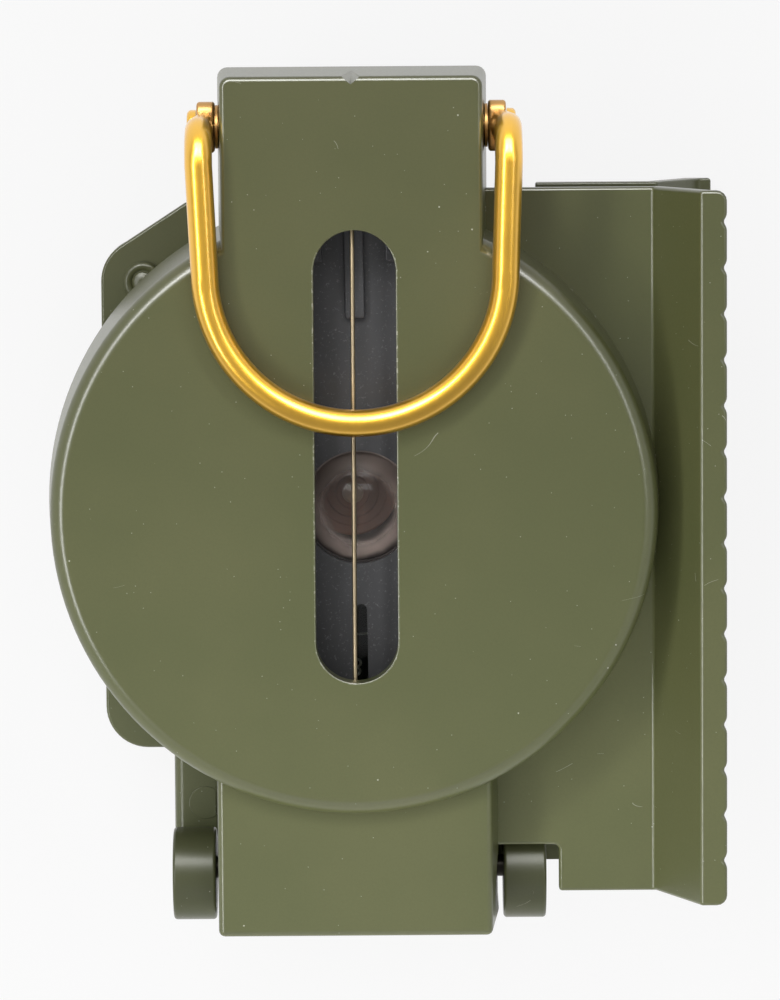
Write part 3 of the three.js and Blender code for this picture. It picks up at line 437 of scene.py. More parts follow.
    def finish(self, body: str, slot: str, look: bpy.types.Material, *nodes: str,
               smooth: float = 40) -> bpy.types.Object:
        """Brings the piece to metres, shades it, and hangs it on its body.

        Args:
            body: the body it rides on.
            slot: the name of the finish it takes; not used.
            look: its material.
            nodes: the solids it stands for.
            smooth: the largest angle in degrees that is shaded round.

        Returns:
            The finished object.
        """
        self._pick()
        self.obj.scale = (MM, MM, MM)
        bpy.ops.object.transform_apply(location=True, rotation=True, scale=True)
        bpy.ops.object.shade_smooth_by_angle(angle=math.radians(smooth))
        self._apply("WEIGHTED_NORMAL", keep_sharp=True, weight=50)
        self.obj.data.materials.clear()
        self.obj.data.materials.append(look)
        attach(self.obj, body)
        if nodes:
            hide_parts(*nodes)
        log.info("%s: %d faces on %s", self.obj.name, len(self.obj.data.polygons), body)
        return self.obj


def touch_up(piece: bpy.types.Object, look: bpy.types.Material,
             test: Callable[[Vector, Vector], bool]) -> None:
    """Gives the faces of a finished piece that pass a test a second material.

    Args:
        piece: the finished piece.
        look: the second material.
        test: a test on a face's middle, in millimetres, and its normal.
    """
    piece.data.materials.append(look)
    second = len(piece.data.materials) - 1
    for face in piece.data.polygons:
        if test(face.center / MM, face.normal):
            face.material_index = second


def flat_on_x(points: Iterable[Flat], x: float) -> list[Spot]:
    """Pairs of Y and Z as points on a plane across X."""
    return [(x, y, z) for y, z in points]


def flat_on_y(points: Iterable[Flat], y: float) -> list[Spot]:
    """Pairs of X and Z as points on a plane across Y."""
    return [(x, y, z) for x, z in points]


def flat_on_z(points: Iterable[Flat], z: float) -> list[Spot]:
    """Pairs of X and Y as points on a level plane."""
    return [(x, y, z) for x, y in points]


class Signal:
    """A shader socket whose sums, products and comparisons add Math nodes."""

    def __init__(self, board: "Board", socket: bpy.types.NodeSocket) -> None:
        """Wraps a socket.

        Args:
            board: the node tree it is on.
            socket: the output socket.
        """
        self.board = board
        self.socket = socket

    def maths(self, operation: str, *others: "Signal | float") -> "Signal":
        """A Math node on this value and others."""
        return self.board.node("ShaderNodeMath", {"operation": operation}, dict(enumerate((self, *others))))

    def other(self, output: str | int) -> "Signal":
        """Another output of the same node."""
        return Signal(self.board, self.socket.node.outputs[output])

    def __add__(self, other: "Signal | float") -> "Signal":
        """This value plus another."""
        return self.maths("ADD", other)

    __radd__ = __add__

    def __mul__(self, other: "Signal | float") -> "Signal":
        """This value times another."""
        return self.maths("MULTIPLY", other)

    __rmul__ = __mul__

    def __sub__(self, other: "Signal | float") -> "Signal":
        """This value less another."""
        return self.maths("SUBTRACT", other)

    def __rsub__(self, other: float) -> "Signal":
        """A number less this value."""
        return self.board.node("ShaderNodeMath", {"operation": "SUBTRACT"}, {0: other, 1: self})

    def __truediv__(self, other: "Signal | float") -> "Signal":
        """This value divided by another."""
        return self.maths("DIVIDE", other)

    def __gt__(self, other: "Signal | float") -> "Signal":
        """1 where this value is larger."""
        return self.maths("GREATER_THAN", other)

    def __lt__(self, other: "Signal | float") -> "Signal":
        """1 where this value is smaller."""
        return self.maths("LESS_THAN", other)

    def __abs__(self) -> "Signal":
        """The value without its sign."""
        return self.maths("ABSOLUTE")

    def between(self, low: float, high: float) -> "Signal":
        """0 below one value and 1 above another, with a soft ramp between them."""
        return self.board.node(
            "ShaderNodeMapRange", {"interpolation_type": "SMOOTHSTEP"}, {0: self, 1: low, 2: high})


class Board:
    """The node tree of one material or world."""

    def __init__(self, tree: bpy.types.NodeTree) -> None:
        """Starts with an empty tree.

        Args:
            tree: the tree to fill.
        """
        self.tree = tree
        tree.nodes.clear()

    def node(self, kind: str, settings: dict[str, object] | None = None,
             sockets: dict[str | int, object] | None = None, output: str | int = 0) -> Signal:
        """Adds one node.

        Args:
            kind: the node's type.
            settings: its settings, which are set first; stops are a ramp's places and colours.
            sockets: values or signals by socket name or number.
            output: the output that is wanted.

        Returns:
            The wanted output.
        """
        made = self.tree.nodes.new(kind)
        for setting, value in (settings or {}).items():
            if setting == "stops":
                self._set_stops(made.color_ramp, value)
            else:
                setattr(made, setting, value)
        for socket, value in (sockets or {}).items():
            if isinstance(value, Signal):
                self.tree.links.new(value.socket, made.inputs[socket])
            else:
                made.inputs[socket].default_value = value
        return Signal(self, made.outputs[output] if made.outputs else None)

    @staticmethod
    def _set_stops(ramp: bpy.types.ColorRamp, stops: Sequence[tuple[float, Sequence[float]]]) -> None:
        """Sets a colour ramp.

        Args:
            ramp: the ramp.
            stops: its places from 0 to 1, each with its colour.
        """
        while len(ramp.elements) < len(stops):
            ramp.elements.new(1.0)
        for element, (place, colour) in zip(ramp.elements, stops):
            element.position = place
            element.color = (*colour, 1.0)

    def place(self, output: str = "Object") -> Signal:
        """The place on the piece, in metres."""
        return self.node("ShaderNodeTexCoord", output=output)

    def noise(self, place: Signal, scale: float, detail: float = 2.0, rough: float = 0.5) -> Signal:
        """Soft noise from 0 to 1, with its scale in cells per metre."""
        return self.node("ShaderNodeTexNoise", None,
                         {"Vector": place, "Scale": scale, "Detail": detail, "Roughness": rough})

    def cells(self, place: Signal, scale: float, output: str = "Distance") -> Signal:
        """Cells scattered at random: the distance to the nearest middle, or its colour."""
        return self.node("ShaderNodeTexVoronoi", None, {"Vector": place, "Scale": scale}, output)

    def blend(self, share: Signal | float, first: object, second: object, mode: str = "MIX") -> Signal:
        """Two colours mixed by a share."""
        return self.node("ShaderNodeMix", {"data_type": "RGBA", "blend_type": mode},
                         {0: share, 6: first, 7: second}, 2)

    def stretch(self, place: Signal, scale: Spot, turn: Spot = (0, 0, 0)) -> Signal:
        """The place with its axes stretched and turned."""
        return self.node("ShaderNodeMapping", None, {"Vector": place, "Scale": scale, "Rotation": turn})

    def bump(self, height: Signal, strength: float, distance: float, below: Signal | None = None) -> Signal:
        """A bumped normal from a height.

        Args:
            height: the height, from 0 to 1.
            strength: how much of it is used.
            distance: how high 1 stands, in metres.
            below: a normal that is bumped already.

        Returns:
            The normal.
        """
        sockets: dict[str | int, object] = {"Height": height, "Strength": strength, "Distance": distance}
        if below:
            sockets["Normal"] = below
        return self.node("ShaderNodeBump", None, sockets)


def linear(value: int) -> float:
    """One part of a screen colour, from 0 to 255, as the shader's own value."""
    share = value / 255
    return share / 12.92 if share <= 0.04045 else ((share + 0.055) / 1.055) ** 2.4


def srgb(red: int, green: int, blue: int) -> Colour:
    """A colour as it is seen on a screen, as the shader's own values."""
    return (linear(red), linear(green), linear(blue), 1.0)


def shaded(colour: Colour, factor: float) -> Colour:
    """A colour made darker or paler by a factor."""
    return (colour[0] * factor, colour[1] * factor, colour[2] * factor, 1.0)


class Finish:
    """A finish that makes its material once."""

    made: dict["Finish", bpy.types.Material] = {}

    def material(self) -> bpy.types.Material:
        """The finish's material, made the first time that it is asked for.

        Returns:
            The material.
        """
        if self not in Finish.made:
            material = bpy.data.materials.new(self.title)
            material.use_nodes = True
            board = Board(material.node_tree)
            board.node("ShaderNodeOutputMaterial", None, {"Surface": self.shader(board)})
            Finish.made[self] = material
        return Finish.made[self]

    def shader(self, board: Board) -> Signal:
        """The finish's surface."""
        raise NotImplementedError


@dataclass(frozen=True)
class SatinPaint(Finish):
    """Sprayed satin paint: fine grain, dust, a few hair scratches, chips and burnished round edges, with
    painted light and shade that runs from paler at the hinge's end to darker at the tab's end.
    """

    title: str
    colour: Colour
    roughness: float = 0.4
    wear: float = 0.0
    bare: Colour = (0.5, 0.51, 0.45, 1.0)
    speck: Colour = (0.62, 0.62, 0.52, 1.0)
    # painted light and shade along Y: colour factors at the tab's end and at the hinge's end, and where the
    # change happens, in metres
    fade: tuple[Colour, Colour] = ((0.9, 0.89, 0.87, 1.0), (1.08, 1.1, 1.17, 1.0))
    fade_span: Flat = (-0.036, 0.034)
    shine: float = 0.25
    burnish_roughness: float = 0.26
    burnish_index: float = 1.8
    cloud_scale: float = 60
    grain_scale: float = 5200
    dust_scale: float = 520
    dust_size: float = 0.038
    dust_share: float = 0.75
    fine_scale: float = 1500
    fine_size: float = 0.07
    fine_share: float = 0.45
    hair_scale: float = 95
    hair_width: float = 0.0008
    hair_gap_scale: float = 260
    hair_share: float = 0.45
    edge_reach: float = 0.00018
    chip_scale: float = 1500
    chip_share: float = 0.7
    wear_scale: float = 2600
    wear_share: float = 0.8
    peel_scale: float = 900

    def shader(self, board: Board) -> Signal:
        """The paint's surface.

        Args:
            board: the material's node tree.

        Returns:
            The surface.
        """
        place = board.place()
        cloud = board.noise(place, self.cloud_scale, 3)
        grain = board.noise(place, self.grain_scale, 2, 0.6)
        tone = board.blend(cloud.between(0.3, 0.7), (0.93, 0.95, 0.92, 1), (1.06, 1.04, 1.05, 1))
        tone = board.blend(grain.between(0.3, 0.75) * 0.16, tone, (0.72, 0.74, 0.7, 1))
        paint = board.blend(1.0, self.colour, tone, "MULTIPLY")
        # painted light: the paint is made darker towards the tab's end and paler towards the hinge's end
        lit_toward_hinge = 1 - board.node("ShaderNodeSeparateXYZ", None, {0: place}, 1).between(*self.fade_span)
        paint = board.blend(1.0, paint, board.blend(lit_toward_hinge, *self.fade), "MULTIPLY")
        dust_gate = board.cells(place, self.dust_scale, "Color") > 0.72
        fine_gate = board.cells(place, self.fine_scale, "Color") > 0.66
        fine = (board.cells(place, self.fine_scale) < self.fine_size) * fine_gate * self.fine_share
        dust = (board.cells(place, self.dust_scale) < self.dust_size) * dust_gate
        slanted = board.stretch(place, (1, 1.8, 1), (0, 0, 0.7))
        hair_line = abs(board.noise(slanted, self.hair_scale, 0.5) - 0.5) < self.hair_width
        hair = hair_line * (board.noise(place, self.hair_gap_scale, 1) > 0.69)
        rounded = board.node("ShaderNodeBevel", {"samples": 4}, {"Radius": self.edge_reach})
        true_normal = board.node("ShaderNodeNewGeometry", None, None, "Normal")
        turn = 1 - board.node("ShaderNodeVectorMath", {"operation": "DOT_PRODUCT"},
                              {0: rounded, 1: true_normal}, "Value")
        chip = turn.between(0.04, 0.16) * board.noise(place, self.chip_scale, 2).between(0.6, 0.72)
        marked = board.blend((dust * self.dust_share).maths("MAXIMUM", fine), paint, self.speck)
        marked = board.blend(hair * self.hair_share, marked, self.speck)
        marked = board.blend(chip * self.chip_share, marked, self.bare)
        if self.wear:
            worn = board.noise(place, self.wear_scale, 2).between(0.62 - self.wear, 0.7 - self.wear)
            marked = board.blend(worn * self.wear_share, marked, self.bare)
        facing = board.node("ShaderNodeSeparateXYZ", None, {0: board.place("Normal")}, 2)
        burnish = (facing.between(0.72, 0.9) * 0.5 + 0.5) * (1 - facing.between(0.97, 0.998) * 0.85)
        peel = board.bump(board.noise(place, self.peel_scale, 2), 0.05, 0.0001)
        skin = board.bump(grain, 0.1, 0.00002, peel)
        skin = board.bump(dust, 0.25, 0.00003, skin)
        return board.node("ShaderNodeBsdfPrincipled", None, {
            "Base Color": marked,
            "Roughness": (grain - 0.5) * 0.14 + self.roughness,
            "Normal": skin,
            "Specular IOR Level": self.shine,
            "Coat Weight": burnish,
            "Coat Roughness": self.burnish_roughness,
            "Coat IOR": self.burnish_index,
        })


@dataclass(frozen=True)
class Metal(Finish):
    """Metal, bare or lacquered, with a drawn grain and small tone changes."""

    title: str
    colour: Colour
    roughness: float
    lacquer: float = 0.0
    lacquer_roughness: float = 0.16
    lacquer_index: float = 1.7
    grain: Spot = (4000, 160, 4000)
    pit_scale: float = 3800
    stain_scale: float = 220

    def shader(self, board: Board) -> Signal:
        """The metal's surface.

        Args:
            board: the material's node tree.

        Returns:
            The surface.
        """
        place = board.place()
        lines = board.noise(board.stretch(place, self.grain), 1, 3)
        pits = board.noise(place, self.pit_scale, 2, 0.6)
        stain = board.noise(place, self.stain_scale, 3).between(0.35, 0.75)
        dark = shaded(self.colour, 0.8)
        tone = board.blend(stain * 0.5, self.colour, dark)
        tone = board.blend(pits.between(0.62, 0.8) * 0.2, tone, dark)
        skin = board.bump(lines, 0.012, 0.00002, board.bump(pits, 0.02, 0.00002))
        return board.node("ShaderNodeBsdfPrincipled", None, {
            "Base Color": tone,
            "Metallic": 1.0,
            "Coat Weight": self.lacquer,
            "Coat Roughness": self.lacquer_roughness,
            "Coat IOR": self.lacquer_index,
            "Roughness": (lines - 0.5) * 0.08 + (pits - 0.5) * 0.06 + self.roughness,
            "Normal": skin,
        })


@dataclass(frozen=True)
class Moulding(Finish):
    """Moulded plastic, rubber or a dull coating, with spark grain."""

    title: str
    colour: Colour
    roughness: float
    grain: float = 4200
    fleck: Colour = (0.2, 0.2, 0.21, 1.0)
    streak: Spot = (420, 14, 420)

    def shader(self, board: Board) -> Signal:
        """The moulding's surface.

        Args:
            board: the material's node tree.

        Returns:
            The surface.
        """
        place = board.place()
        spark = board.noise(place, self.grain, 3, 0.65)
        cloud = board.noise(place, 130, 2)
        streak = board.noise(board.stretch(place, self.streak), 1, 2)
        pale = shaded(self.colour, 1.7)
        tone = board.blend((cloud * 0.4 + streak * 0.6).between(0.38, 0.62), self.colour, pale)
        tone = board.blend(spark.between(0.58, 0.72) * 0.5, tone, self.fleck)
        return board.node("ShaderNodeBsdfPrincipled", None, {
            "Base Color": tone,
            "Roughness": (spark - 0.5) * 0.2 + self.roughness,
            "Normal": board.bump(spark, 0.22, 0.00003),
        })


@dataclass(frozen=True)
class ClearGlass(Finish):
    """Clear glass or crystal that lets light through to what lies under it."""

    title: str
    colour: Colour
    index: float

    def shader(self, board: Board) -> Signal:
        """The glass.

        Args:
            board: the material's node tree.

        Returns:
            The surface.
        """
        place = board.place()
        smear = board.noise(place, 180, 3).between(0.5, 0.9)
        glass = board.node("ShaderNodeBsdfPrincipled", None, {
            "Base Color": self.colour,
            "Roughness": smear * 0.02 + 0.004,
            "IOR": self.index,
            "Transmission Weight": 1.0,
        })
        through = board.node("ShaderNodeBsdfTransparent", None, {"Color": self.colour})
        shade = board.node("ShaderNodeLightPath", output="Is Shadow Ray")
        return board.node("ShaderNodeMixShader", None, {0: shade, 1: glass, 2: through})


@dataclass(frozen=True)
class MilkyGlass(ClearGlass):
    """A moulded lens: clear in the middle and milky towards its edge."""

    milk: Colour = (1.0, 1.0, 1.0, 1.0)
    axis: Flat = (0.0, 0.0)
    clear: float = 0.0026
    cloudy: float = 0.0038
    share: float = 0.75
    haze: float = 0.05
    # where the painted shadow on the rim lies, and its colour
    rim: Flat = (0.0041, 0.0048)
    rim_side: Flat = (0.0005, 0.003)
    rim_shade: Colour = (0.01, 0.01, 0.011, 1.0)

    def shader(self, board: Board) -> Signal:
        """The lens, with a painted shadow on its rim on the hinge's side, and its milk painted darker towards
        one side and paler towards the other.

        Args:
            board: the material's node tree.

        Returns:
            The surface.
        """
        place = board.place()
        parts = board.node("ShaderNodeSeparateXYZ", None, {0: place})
        x = parts - self.axis[0]
        y = parts.other(1) - self.axis[1]
        cloud = board.noise(place, 420, 2)
        radius = (x * x + y * y).maths("SQRT") + (cloud - 0.5) * 0.0012
        # painted light and shade: the milk is darker towards -X and +Y and paler towards +X and -Y
        milk_in_painted_shade = shaded(self.milk, 0.6)
        side = (x * 0.8 - y * 0.3 + (cloud - 0.5) * 0.006).between(-0.004, 0.0035)
        tone = board.blend(side, milk_in_painted_shade, self.milk)
        # painted shadow: the rim is darkened on the hinge's side
        shade = radius.between(*self.rim) * (0 - y).between(*self.rim_side)
        tone = board.blend(shade * 0.85, tone, self.rim_shade)
        milk = board.node("ShaderNodeBsdfPrincipled", None, {
            "Base Color": tone, "Roughness": board.noise(place, 2600, 2) * 0.1 + 0.35})
        edge = radius.between(self.clear, self.cloudy) * (self.share - self.haze) + self.haze
        return board.node("ShaderNodeMixShader", None, {0: edge, 1: super().shader(board), 2: milk})


@dataclass(frozen=True)
class DialPrint(Finish):
    """The dial's face: a dull black card with printed rings and ticks round its edge."""

    title: str
    colour: Colour
    ink: Colour
    edge: float = 0.0194
    ring: float = 0.0125
    ring_half: float = 0.0001
    edge_half: float = 0.00012
    minor: Flat = (0.0009, 0.00022)
    major: Flat = (0.0020, 0.0004)
    step: float = math.radians(5)
    major_step: float = math.radians(30)

    def shader(self, board: Board) -> Signal:
        """The printed card.

        Args:
            board: the material's node tree.

        Returns:
            The surface.
        """
        place = board.place()
        parts = board.node("ShaderNodeSeparateXYZ", None, {0: place})
        x, y = parts, parts.other(1)
        radius = (x * x + y * y).maths("SQRT")
        angle = x.maths("ARCTAN2", y)

        def ticks(step: float, length: float, width: float) -> Signal:
            """Ticks at even steps round the edge."""
            across = abs((angle / step + 0.5).maths("FRACT") - 0.5) * step * radius
            return (across < width / 2) * (radius < self.edge) * (radius > self.edge - length)

        printed = ticks(self.step, *self.minor).maths("MAXIMUM", ticks(self.major_step, *self.major))
        inner_ring = abs(radius - self.ring) < self.ring_half
        rim = (abs(radius - self.edge) < self.edge_half).maths("MAXIMUM", inner_ring)
        printed = printed.maths("MAXIMUM", rim)
        spark = board.noise(place, 4200, 3, 0.65)
        card = board.blend(spark.between(0.55, 0.8) * 0.4, self.colour, (0.06, 0.055, 0.05, 1))
        ink = board.blend(spark.between(0.4, 0.8) * 0.3, self.ink, (0.45, 0.46, 0.42, 1))
        return board.node("ShaderNodeBsdfPrincipled", None, {
            "Base Color": board.blend(printed, card, ink),
            "Roughness": (spark - 0.5) * 0.2 + 0.5,
            "Normal": board.bump(printed + spark * 0.2, 0.15, 0.00003),
        })


OLIVE = SatinPaint("olive_paint", srgb(98, 101, 64))
# paler paint for the window's edge: its chips are wear, its paler colour is a painted highlight
OLIVE_WORN_AND_LIT = SatinPaint("olive_paint_worn_and_lit", srgb(112, 115, 84), 0.4, 0.06, (0.36, 0.37, 0.28, 1.0))
OLIVE_DARK = SatinPaint("olive_paint_base", srgb(99, 102, 70), burnish_index=1.45)
# darker paint on the hinge's knuckles: painted shade, as they lie low beside the lid
OLIVE_KNUCKLE_SHADE = SatinPaint("olive_paint_knuckle_shade", srgb(76, 78, 52), burnish_index=1.3)
OLIVE_RIVET = SatinPaint("olive_paint_rivet", srgb(94, 97, 66), burnish_index=1.35)
OLIVE_BEZEL = SatinPaint("olive_paint_bezel", srgb(88, 92, 60))
BRASS = Metal("drawn_brass", srgb(255, 198, 62), 0.34, 0.9)
# darker brass for the loop's flattened ends and the screws' shoulders
DARKER_BRASS = Metal("darker_brass", srgb(198, 154, 96), 0.42)
WIRE_BRASS = Metal("wire_brass", srgb(188, 172, 142), 0.42)
COPPER = Moulding("jewel_copper", srgb(204, 142, 118), 0.4, 2500, (0.6, 0.35, 0.26, 1.0))
COPPER_TIP = Moulding("jewel_tip", srgb(254, 214, 182), 0.35, 2500, (0.95, 0.74, 0.56, 1.0))
PIN_STEEL = Metal("pin_steel", srgb(186, 186, 182), 0.3)
DARK_STEEL = Metal("dark_steel", srgb(74, 71, 66), 0.4)
SPRING_STEEL = Metal("spring_steel", srgb(170, 172, 174), 0.28)
MAGNET_STEEL = Metal("magnet_steel", srgb(150, 150, 150), 0.42)
BLACK = Moulding("black_moulding", srgb(60, 60, 62), 0.42)
RUBBER = Moulding("seal_rubber", srgb(26, 26, 26), 0.75)
GLOW = Moulding("luminous_paint", srgb(206, 222, 176), 0.6, 3000, (0.8, 0.85, 0.62, 1.0))
INK = Moulding("dial_ink", srgb(176, 176, 164), 0.55, 3000, (0.42, 0.42, 0.38, 1.0))
CARD = DialPrint("dial_card_print", srgb(24, 24, 26), srgb(226, 226, 214))
CRYSTAL = ClearGlass("crystal_clear", (0.97, 0.98, 0.975, 1.0), 1.25)
LENS_GLASS = MilkyGlass("lens_clear", (0.98, 0.975, 0.965, 1.0), 1.2, srgb(166, 150, 142), (0.00043, 0.0))


@dataclass
class Wing:
    """The ruler's edge that the lid and the base each carry on their right."""

    foot: float = 26.5
    head: float = 30.2
    edge: float = 32.5
    front: float = 27.9
    foot_step: float = 0.8
    head_step: float = 1.2
    corner: float = 0.9
    mark_first: float = 25.2
    mark_pitch: float = 4.0
    mark_depth: float = 0.35
    mark_width: float = 1.0
    mark_margin: float = 2.0
    softness: float = 0.28

    def build(self, name: str, section: Sequence[Flat], back: float, rooms: Sequence[Blank]) -> Blank:
        """The wing with its ruler marks.

        Args:
            name: the piece's name.
            section: its section in X and Z.
            back: its end in Y.
            rooms: blocks cut out of it.

        Returns:
            The wing.
        """
        wing = Blank.prism(name, flat_on_y(section, back), (0, self.front - back, 0))
        wing.edges(lambda a, b: min(a.x, b.x) > self.edge - TOUCH and abs(a.y - b.y) < TOUCH)
        wing.bevel(self.corner, 4)
        wing.combine(Join.CUT, *rooms)
        low, high = min(z for _, z in section), max(z for _, z in section)
        place = self.mark_first
        while place > back + self.mark_margin:
            notch = [(self.edge - self.mark_depth, place),
                     (self.edge + self.mark_depth, place - self.mark_width),
                     (self.edge + self.mark_depth, place + self.mark_width)]
            wing.combine(Join.CUT, Blank.prism("notch", flat_on_z(notch, low - OVERCUT),
                                               (0, 0, high - low + 2 * OVERCUT)))
            place -= self.mark_pitch
        return wing.tidy().soften(self.softness, 3, 25)


@dataclass
class Lid:
    """The lid: a leaning cup with a tab, a hinge block, a ruler wing and a sighting window."""

    radius: float = 26.4
    top: float = 26.0
    edge: float = 13.4
    inner_top: float = 24.0
    wall: float = 1.5
    draft: float = math.tan(math.radians(4))
    tab_draft: float = math.tan(math.radians(2.5))
    tab_half: float = 11.35
    tab_root: float = 15.0
    tab_end: float = 38.0
    tab_corner: float = 0.9
    rim_round: float = 1.3
    tab_round: float = 0.45
    block_side: Flat = (-12.2, 12.7)
    block_lean: float = 0.75
    block_top: float = 23.5
    block_under: float = 16.0
    block_inner: float = -22.4
    block_round: float = 0.55
    hinge: Flat = LID_HINGE
    barrel: float = 4.5
    # how far the paler window edge, partly a painted highlight, stops short of the far end, and how steep its
    # faces are
    worn_stop: float = 2.0
    worn_level: float = 0.97
    hinge_bore: float = 1.25
    window_half: float = 3.57
    window_middle: float = 0.2
    window: Flat = (-14.8, 24.7)
    window_round: float = 0.16
    notch_depth: float = 0.7
    notch_low: float = 18.5
    notch_half: float = 1.7
    loop_pivot: Flat = LOOP_PIVOT
    screw_bore: float = 1.05
    web: Flat = (16.0, 17.6)
    strip: Flat = (24.0, 25.5)
    wing_back: float = -34.8
    cutout: Flat = (18.0, -30.6)
    cutout_round: float = 0.5

    def _tab(self) -> Blank:
        """The tab, leaning out below its top.

        Returns:
            The tab.
        """
        tab = Blank.box("tab", (-self.tab_half, self.tab_root, self.edge),
                        (self.tab_half, self.tab_end, self.top))
        lean = (self.top - self.edge) * self.tab_draft
        tab.points(lambda p: p.z < self.edge + TOUCH)
        tab.resize((1 + lean / self.tab_half, 1, 1), (0, 0, self.edge))
        tab.points(lambda p: p.z < self.edge + TOUCH and p.y > self.tab_end - TOUCH).move((0, lean, 0))
        tab.edges(lambda a, b: min(a.y, b.y) > self.tab_end - TOUCH and abs(a.z - b.z) > 1)
        tab.bevel(self.tab_corner, 5)
        return tab.edges(lambda a, b: min(a.z, b.z) > self.top - TOUCH).bevel(self.tab_round, 4)

    def _crown(self) -> Blank:
        """The cup with its round edge, and the tab on it.

        Returns:
            The cup.
        """
        foot = self.radius + (self.top - self.edge) * self.draft
        crown = Blank.drum("lid_shell", foot, self.edge, self.top, self.radius)
        crown.edges(lambda a, b: min(a.z, b.z) > self.top - TOUCH).bevel(self.rim_round, 7)
        return crown.combine(Join.ADD, self._tab()).tidy()

    def _block(self) -> Blank:
        """The hinge block with its barrel.

        Returns:
            The block.
        """
        y = self.hinge[0]
        outline = [(y - self.barrel, self.block_top),
                   *arc(self.hinge, self.barrel, 180, 360, 20),
                   (y + self.barrel, self.block_under),
                   (self.block_inner, self.block_under),
                   (self.block_inner, self.block_top)]
        left, right = self.block_side
        block = Blank.prism("block", flat_on_x(outline, left), (right - left, 0, 0))
        block.points(lambda p: p.z > self.block_top - TOUCH and p.x > right - TOUCH)
        block.move((-self.block_lean, 0, 0))
        return block.soften(self.block_round, 4, 40)

    def _wing(self) -> Blank:
        """The ruler wing.

        Returns:
            The wing.
        """
        wing = Wing()
        under, over = self.web
        section = [(0, under), (wing.foot + wing.foot_step, under),
                   (wing.head + wing.head_step, self.strip[0]), (wing.edge, self.strip[0]),
                   (wing.edge, self.strip[1]), (wing.head, self.strip[1]), (wing.foot, over), (0, over)]
        room = Blank.box("room", (-OVERCUT, self.wing_back - OVERCUT, 0),
                         (self.cutout[0], self.cutout[1], self.top + OVERCUT))
        room.edges(lambda a, b: min(a.x, b.x) > 0 and min(a.y, b.y) > self.cutout[1] - TOUCH)
        room.bevel(self.cutout_round, 4)
        return wing.build("lid_wing", section, self.wing_back, [room])

    def _window(self) -> Blank:
        """The cutter of the sighting window.

        Returns:
            The cutter.
        """
        left, right = self.window_middle - self.window_half, self.window_middle + self.window_half
        cutter = Blank.box("window", (left, self.window[0], self.inner_top - OVERCUT),
                           (right, self.window[1], self.top + OVERCUT))
        cutter.edges(lambda a, b: abs(a.z - b.z) > 1).bevel(self.window_half - TOUCH, 20)
        return cutter.tidy()

    def build(self) -> Blank:
        """The lid as one casting.

        Returns:
            The casting.
        """
        low = self.edge - OVERCUT
        inner = self.radius - self.wall
        hollow = Blank.drum("hollow", inner + (self.top - low) * self.draft, low, self.inner_top,
                            inner + (self.top - self.inner_top) * self.draft)
        tab_hollow = Blank.box("tab_hollow", (self.wall - self.tab_half, self.tab_root, low),
                               (self.tab_half - self.wall, self.tab_end - self.wall, self.inner_top))
        foot = self.tab_end + self.notch_depth
        notch = Blank.prism("sight_notch", flat_on_z(
            [(0, self.tab_end - self.notch_depth), (self.notch_half, foot), (-self.notch_half, foot)],
            self.notch_low), (0, 0, self.top + TOUCH - self.notch_low))
        notch.points(lambda p: p.z < self.notch_low + TOUCH)
        notch.move((0, self.notch_depth + (self.top - self.notch_low) * self.tab_draft, 0))
        reach = self.block_side[1] + OVERCUT
        bore = Blank.rod("bore", self.hinge_bore, reach, self.hinge)
        screws = Blank.rod("screws", self.screw_bore, reach, self.loop_pivot)
        lid = self._crown()
        lid.combine(Join.ADD, self._block(), self._wing())
        lid.combine(Join.CUT, hollow, tab_hollow, self._window(), notch, bore, screws)
        lid.tidy()
        half, (back, front) = self.window_half + NEAR, self.window
        lid.edges(lambda a, b: all(p.z > self.top - TOUCH and abs(p.x - self.window_middle) < half
                                   and back - NEAR < p.y < front + NEAR for p in (a, b)))
        return lid.bevel(self.window_round, 2)

    def dress(self) -> None:
        """Builds and finishes the lid, with paler paint on the window's edge: partly worn paint and partly a
        painted highlight.
        """
        lid = self.build().finish("lid", "case_paint", OLIVE.material(), "lid_cover")
        low, (back, front) = self.top - self.window_round, self.window
        reach = self.window_half + self.window_round
        # the window's rounded edge gets paler paint, partly wear and partly a painted highlight, except at
        # its far end
        touch_up(lid, OLIVE_WORN_AND_LIT.material(), lambda middle, normal: (
            middle.z > low and normal.z < self.worn_level and abs(middle.x - self.window_middle) < reach
            and back - self.window_round < middle.y < front - self.worn_stop))


@dataclass
class SightWire:
    """The sighting wire under the lid's window, with an anchor at each end."""

    radius: float = 0.2
    sides: int = 16
    height: float = 23.45
    ends: Flat = (-15.8, 25.7)
    anchors: Flat = (-17.0, 26.9)
    anchor_radius: float = 1.1
    anchor_low: float = 23.0
    anchor_high: float = 23.9
    foot_round: float = 0.35
    head_edge: float = 0.15

    def dress(self) -> None:
        """Builds and finishes the wire and its anchors."""
        low, high = self.ends
        wire = Blank.drum("sight_strand", self.radius, low, high, None, (0, 0, self.height), Axis.Y,
                          self.sides)
        wire.edges(lambda a, b: abs(a.y - b.y) < TOUCH).bevel(self.radius / 3, 2)
        wire.finish("lid", "wire_brass", WIRE_BRASS.material(), "sight_wire")
        radius, foot, head = self.anchor_radius, self.anchor_low, self.anchor_high
        curve, edge = self.foot_round, self.head_edge
        profile = [(0, foot), *arc((radius - curve, foot + curve), curve, 270, 360, 5),
                   (radius, head - edge), (radius - edge, head), (0, head)]
        rear = Blank.turned("anchor_rear", profile, SMALL_SIDES, (0, self.anchors[0]))
        front = rear.twin("anchor_front", (0, self.anchors[1] - self.anchors[0], 0))
        for anchor, end in ((rear, "rear"), (front, "front")):
            anchor.finish("lid", "wire_brass", WIRE_BRASS.material(), f"wire_anchor_{end}")


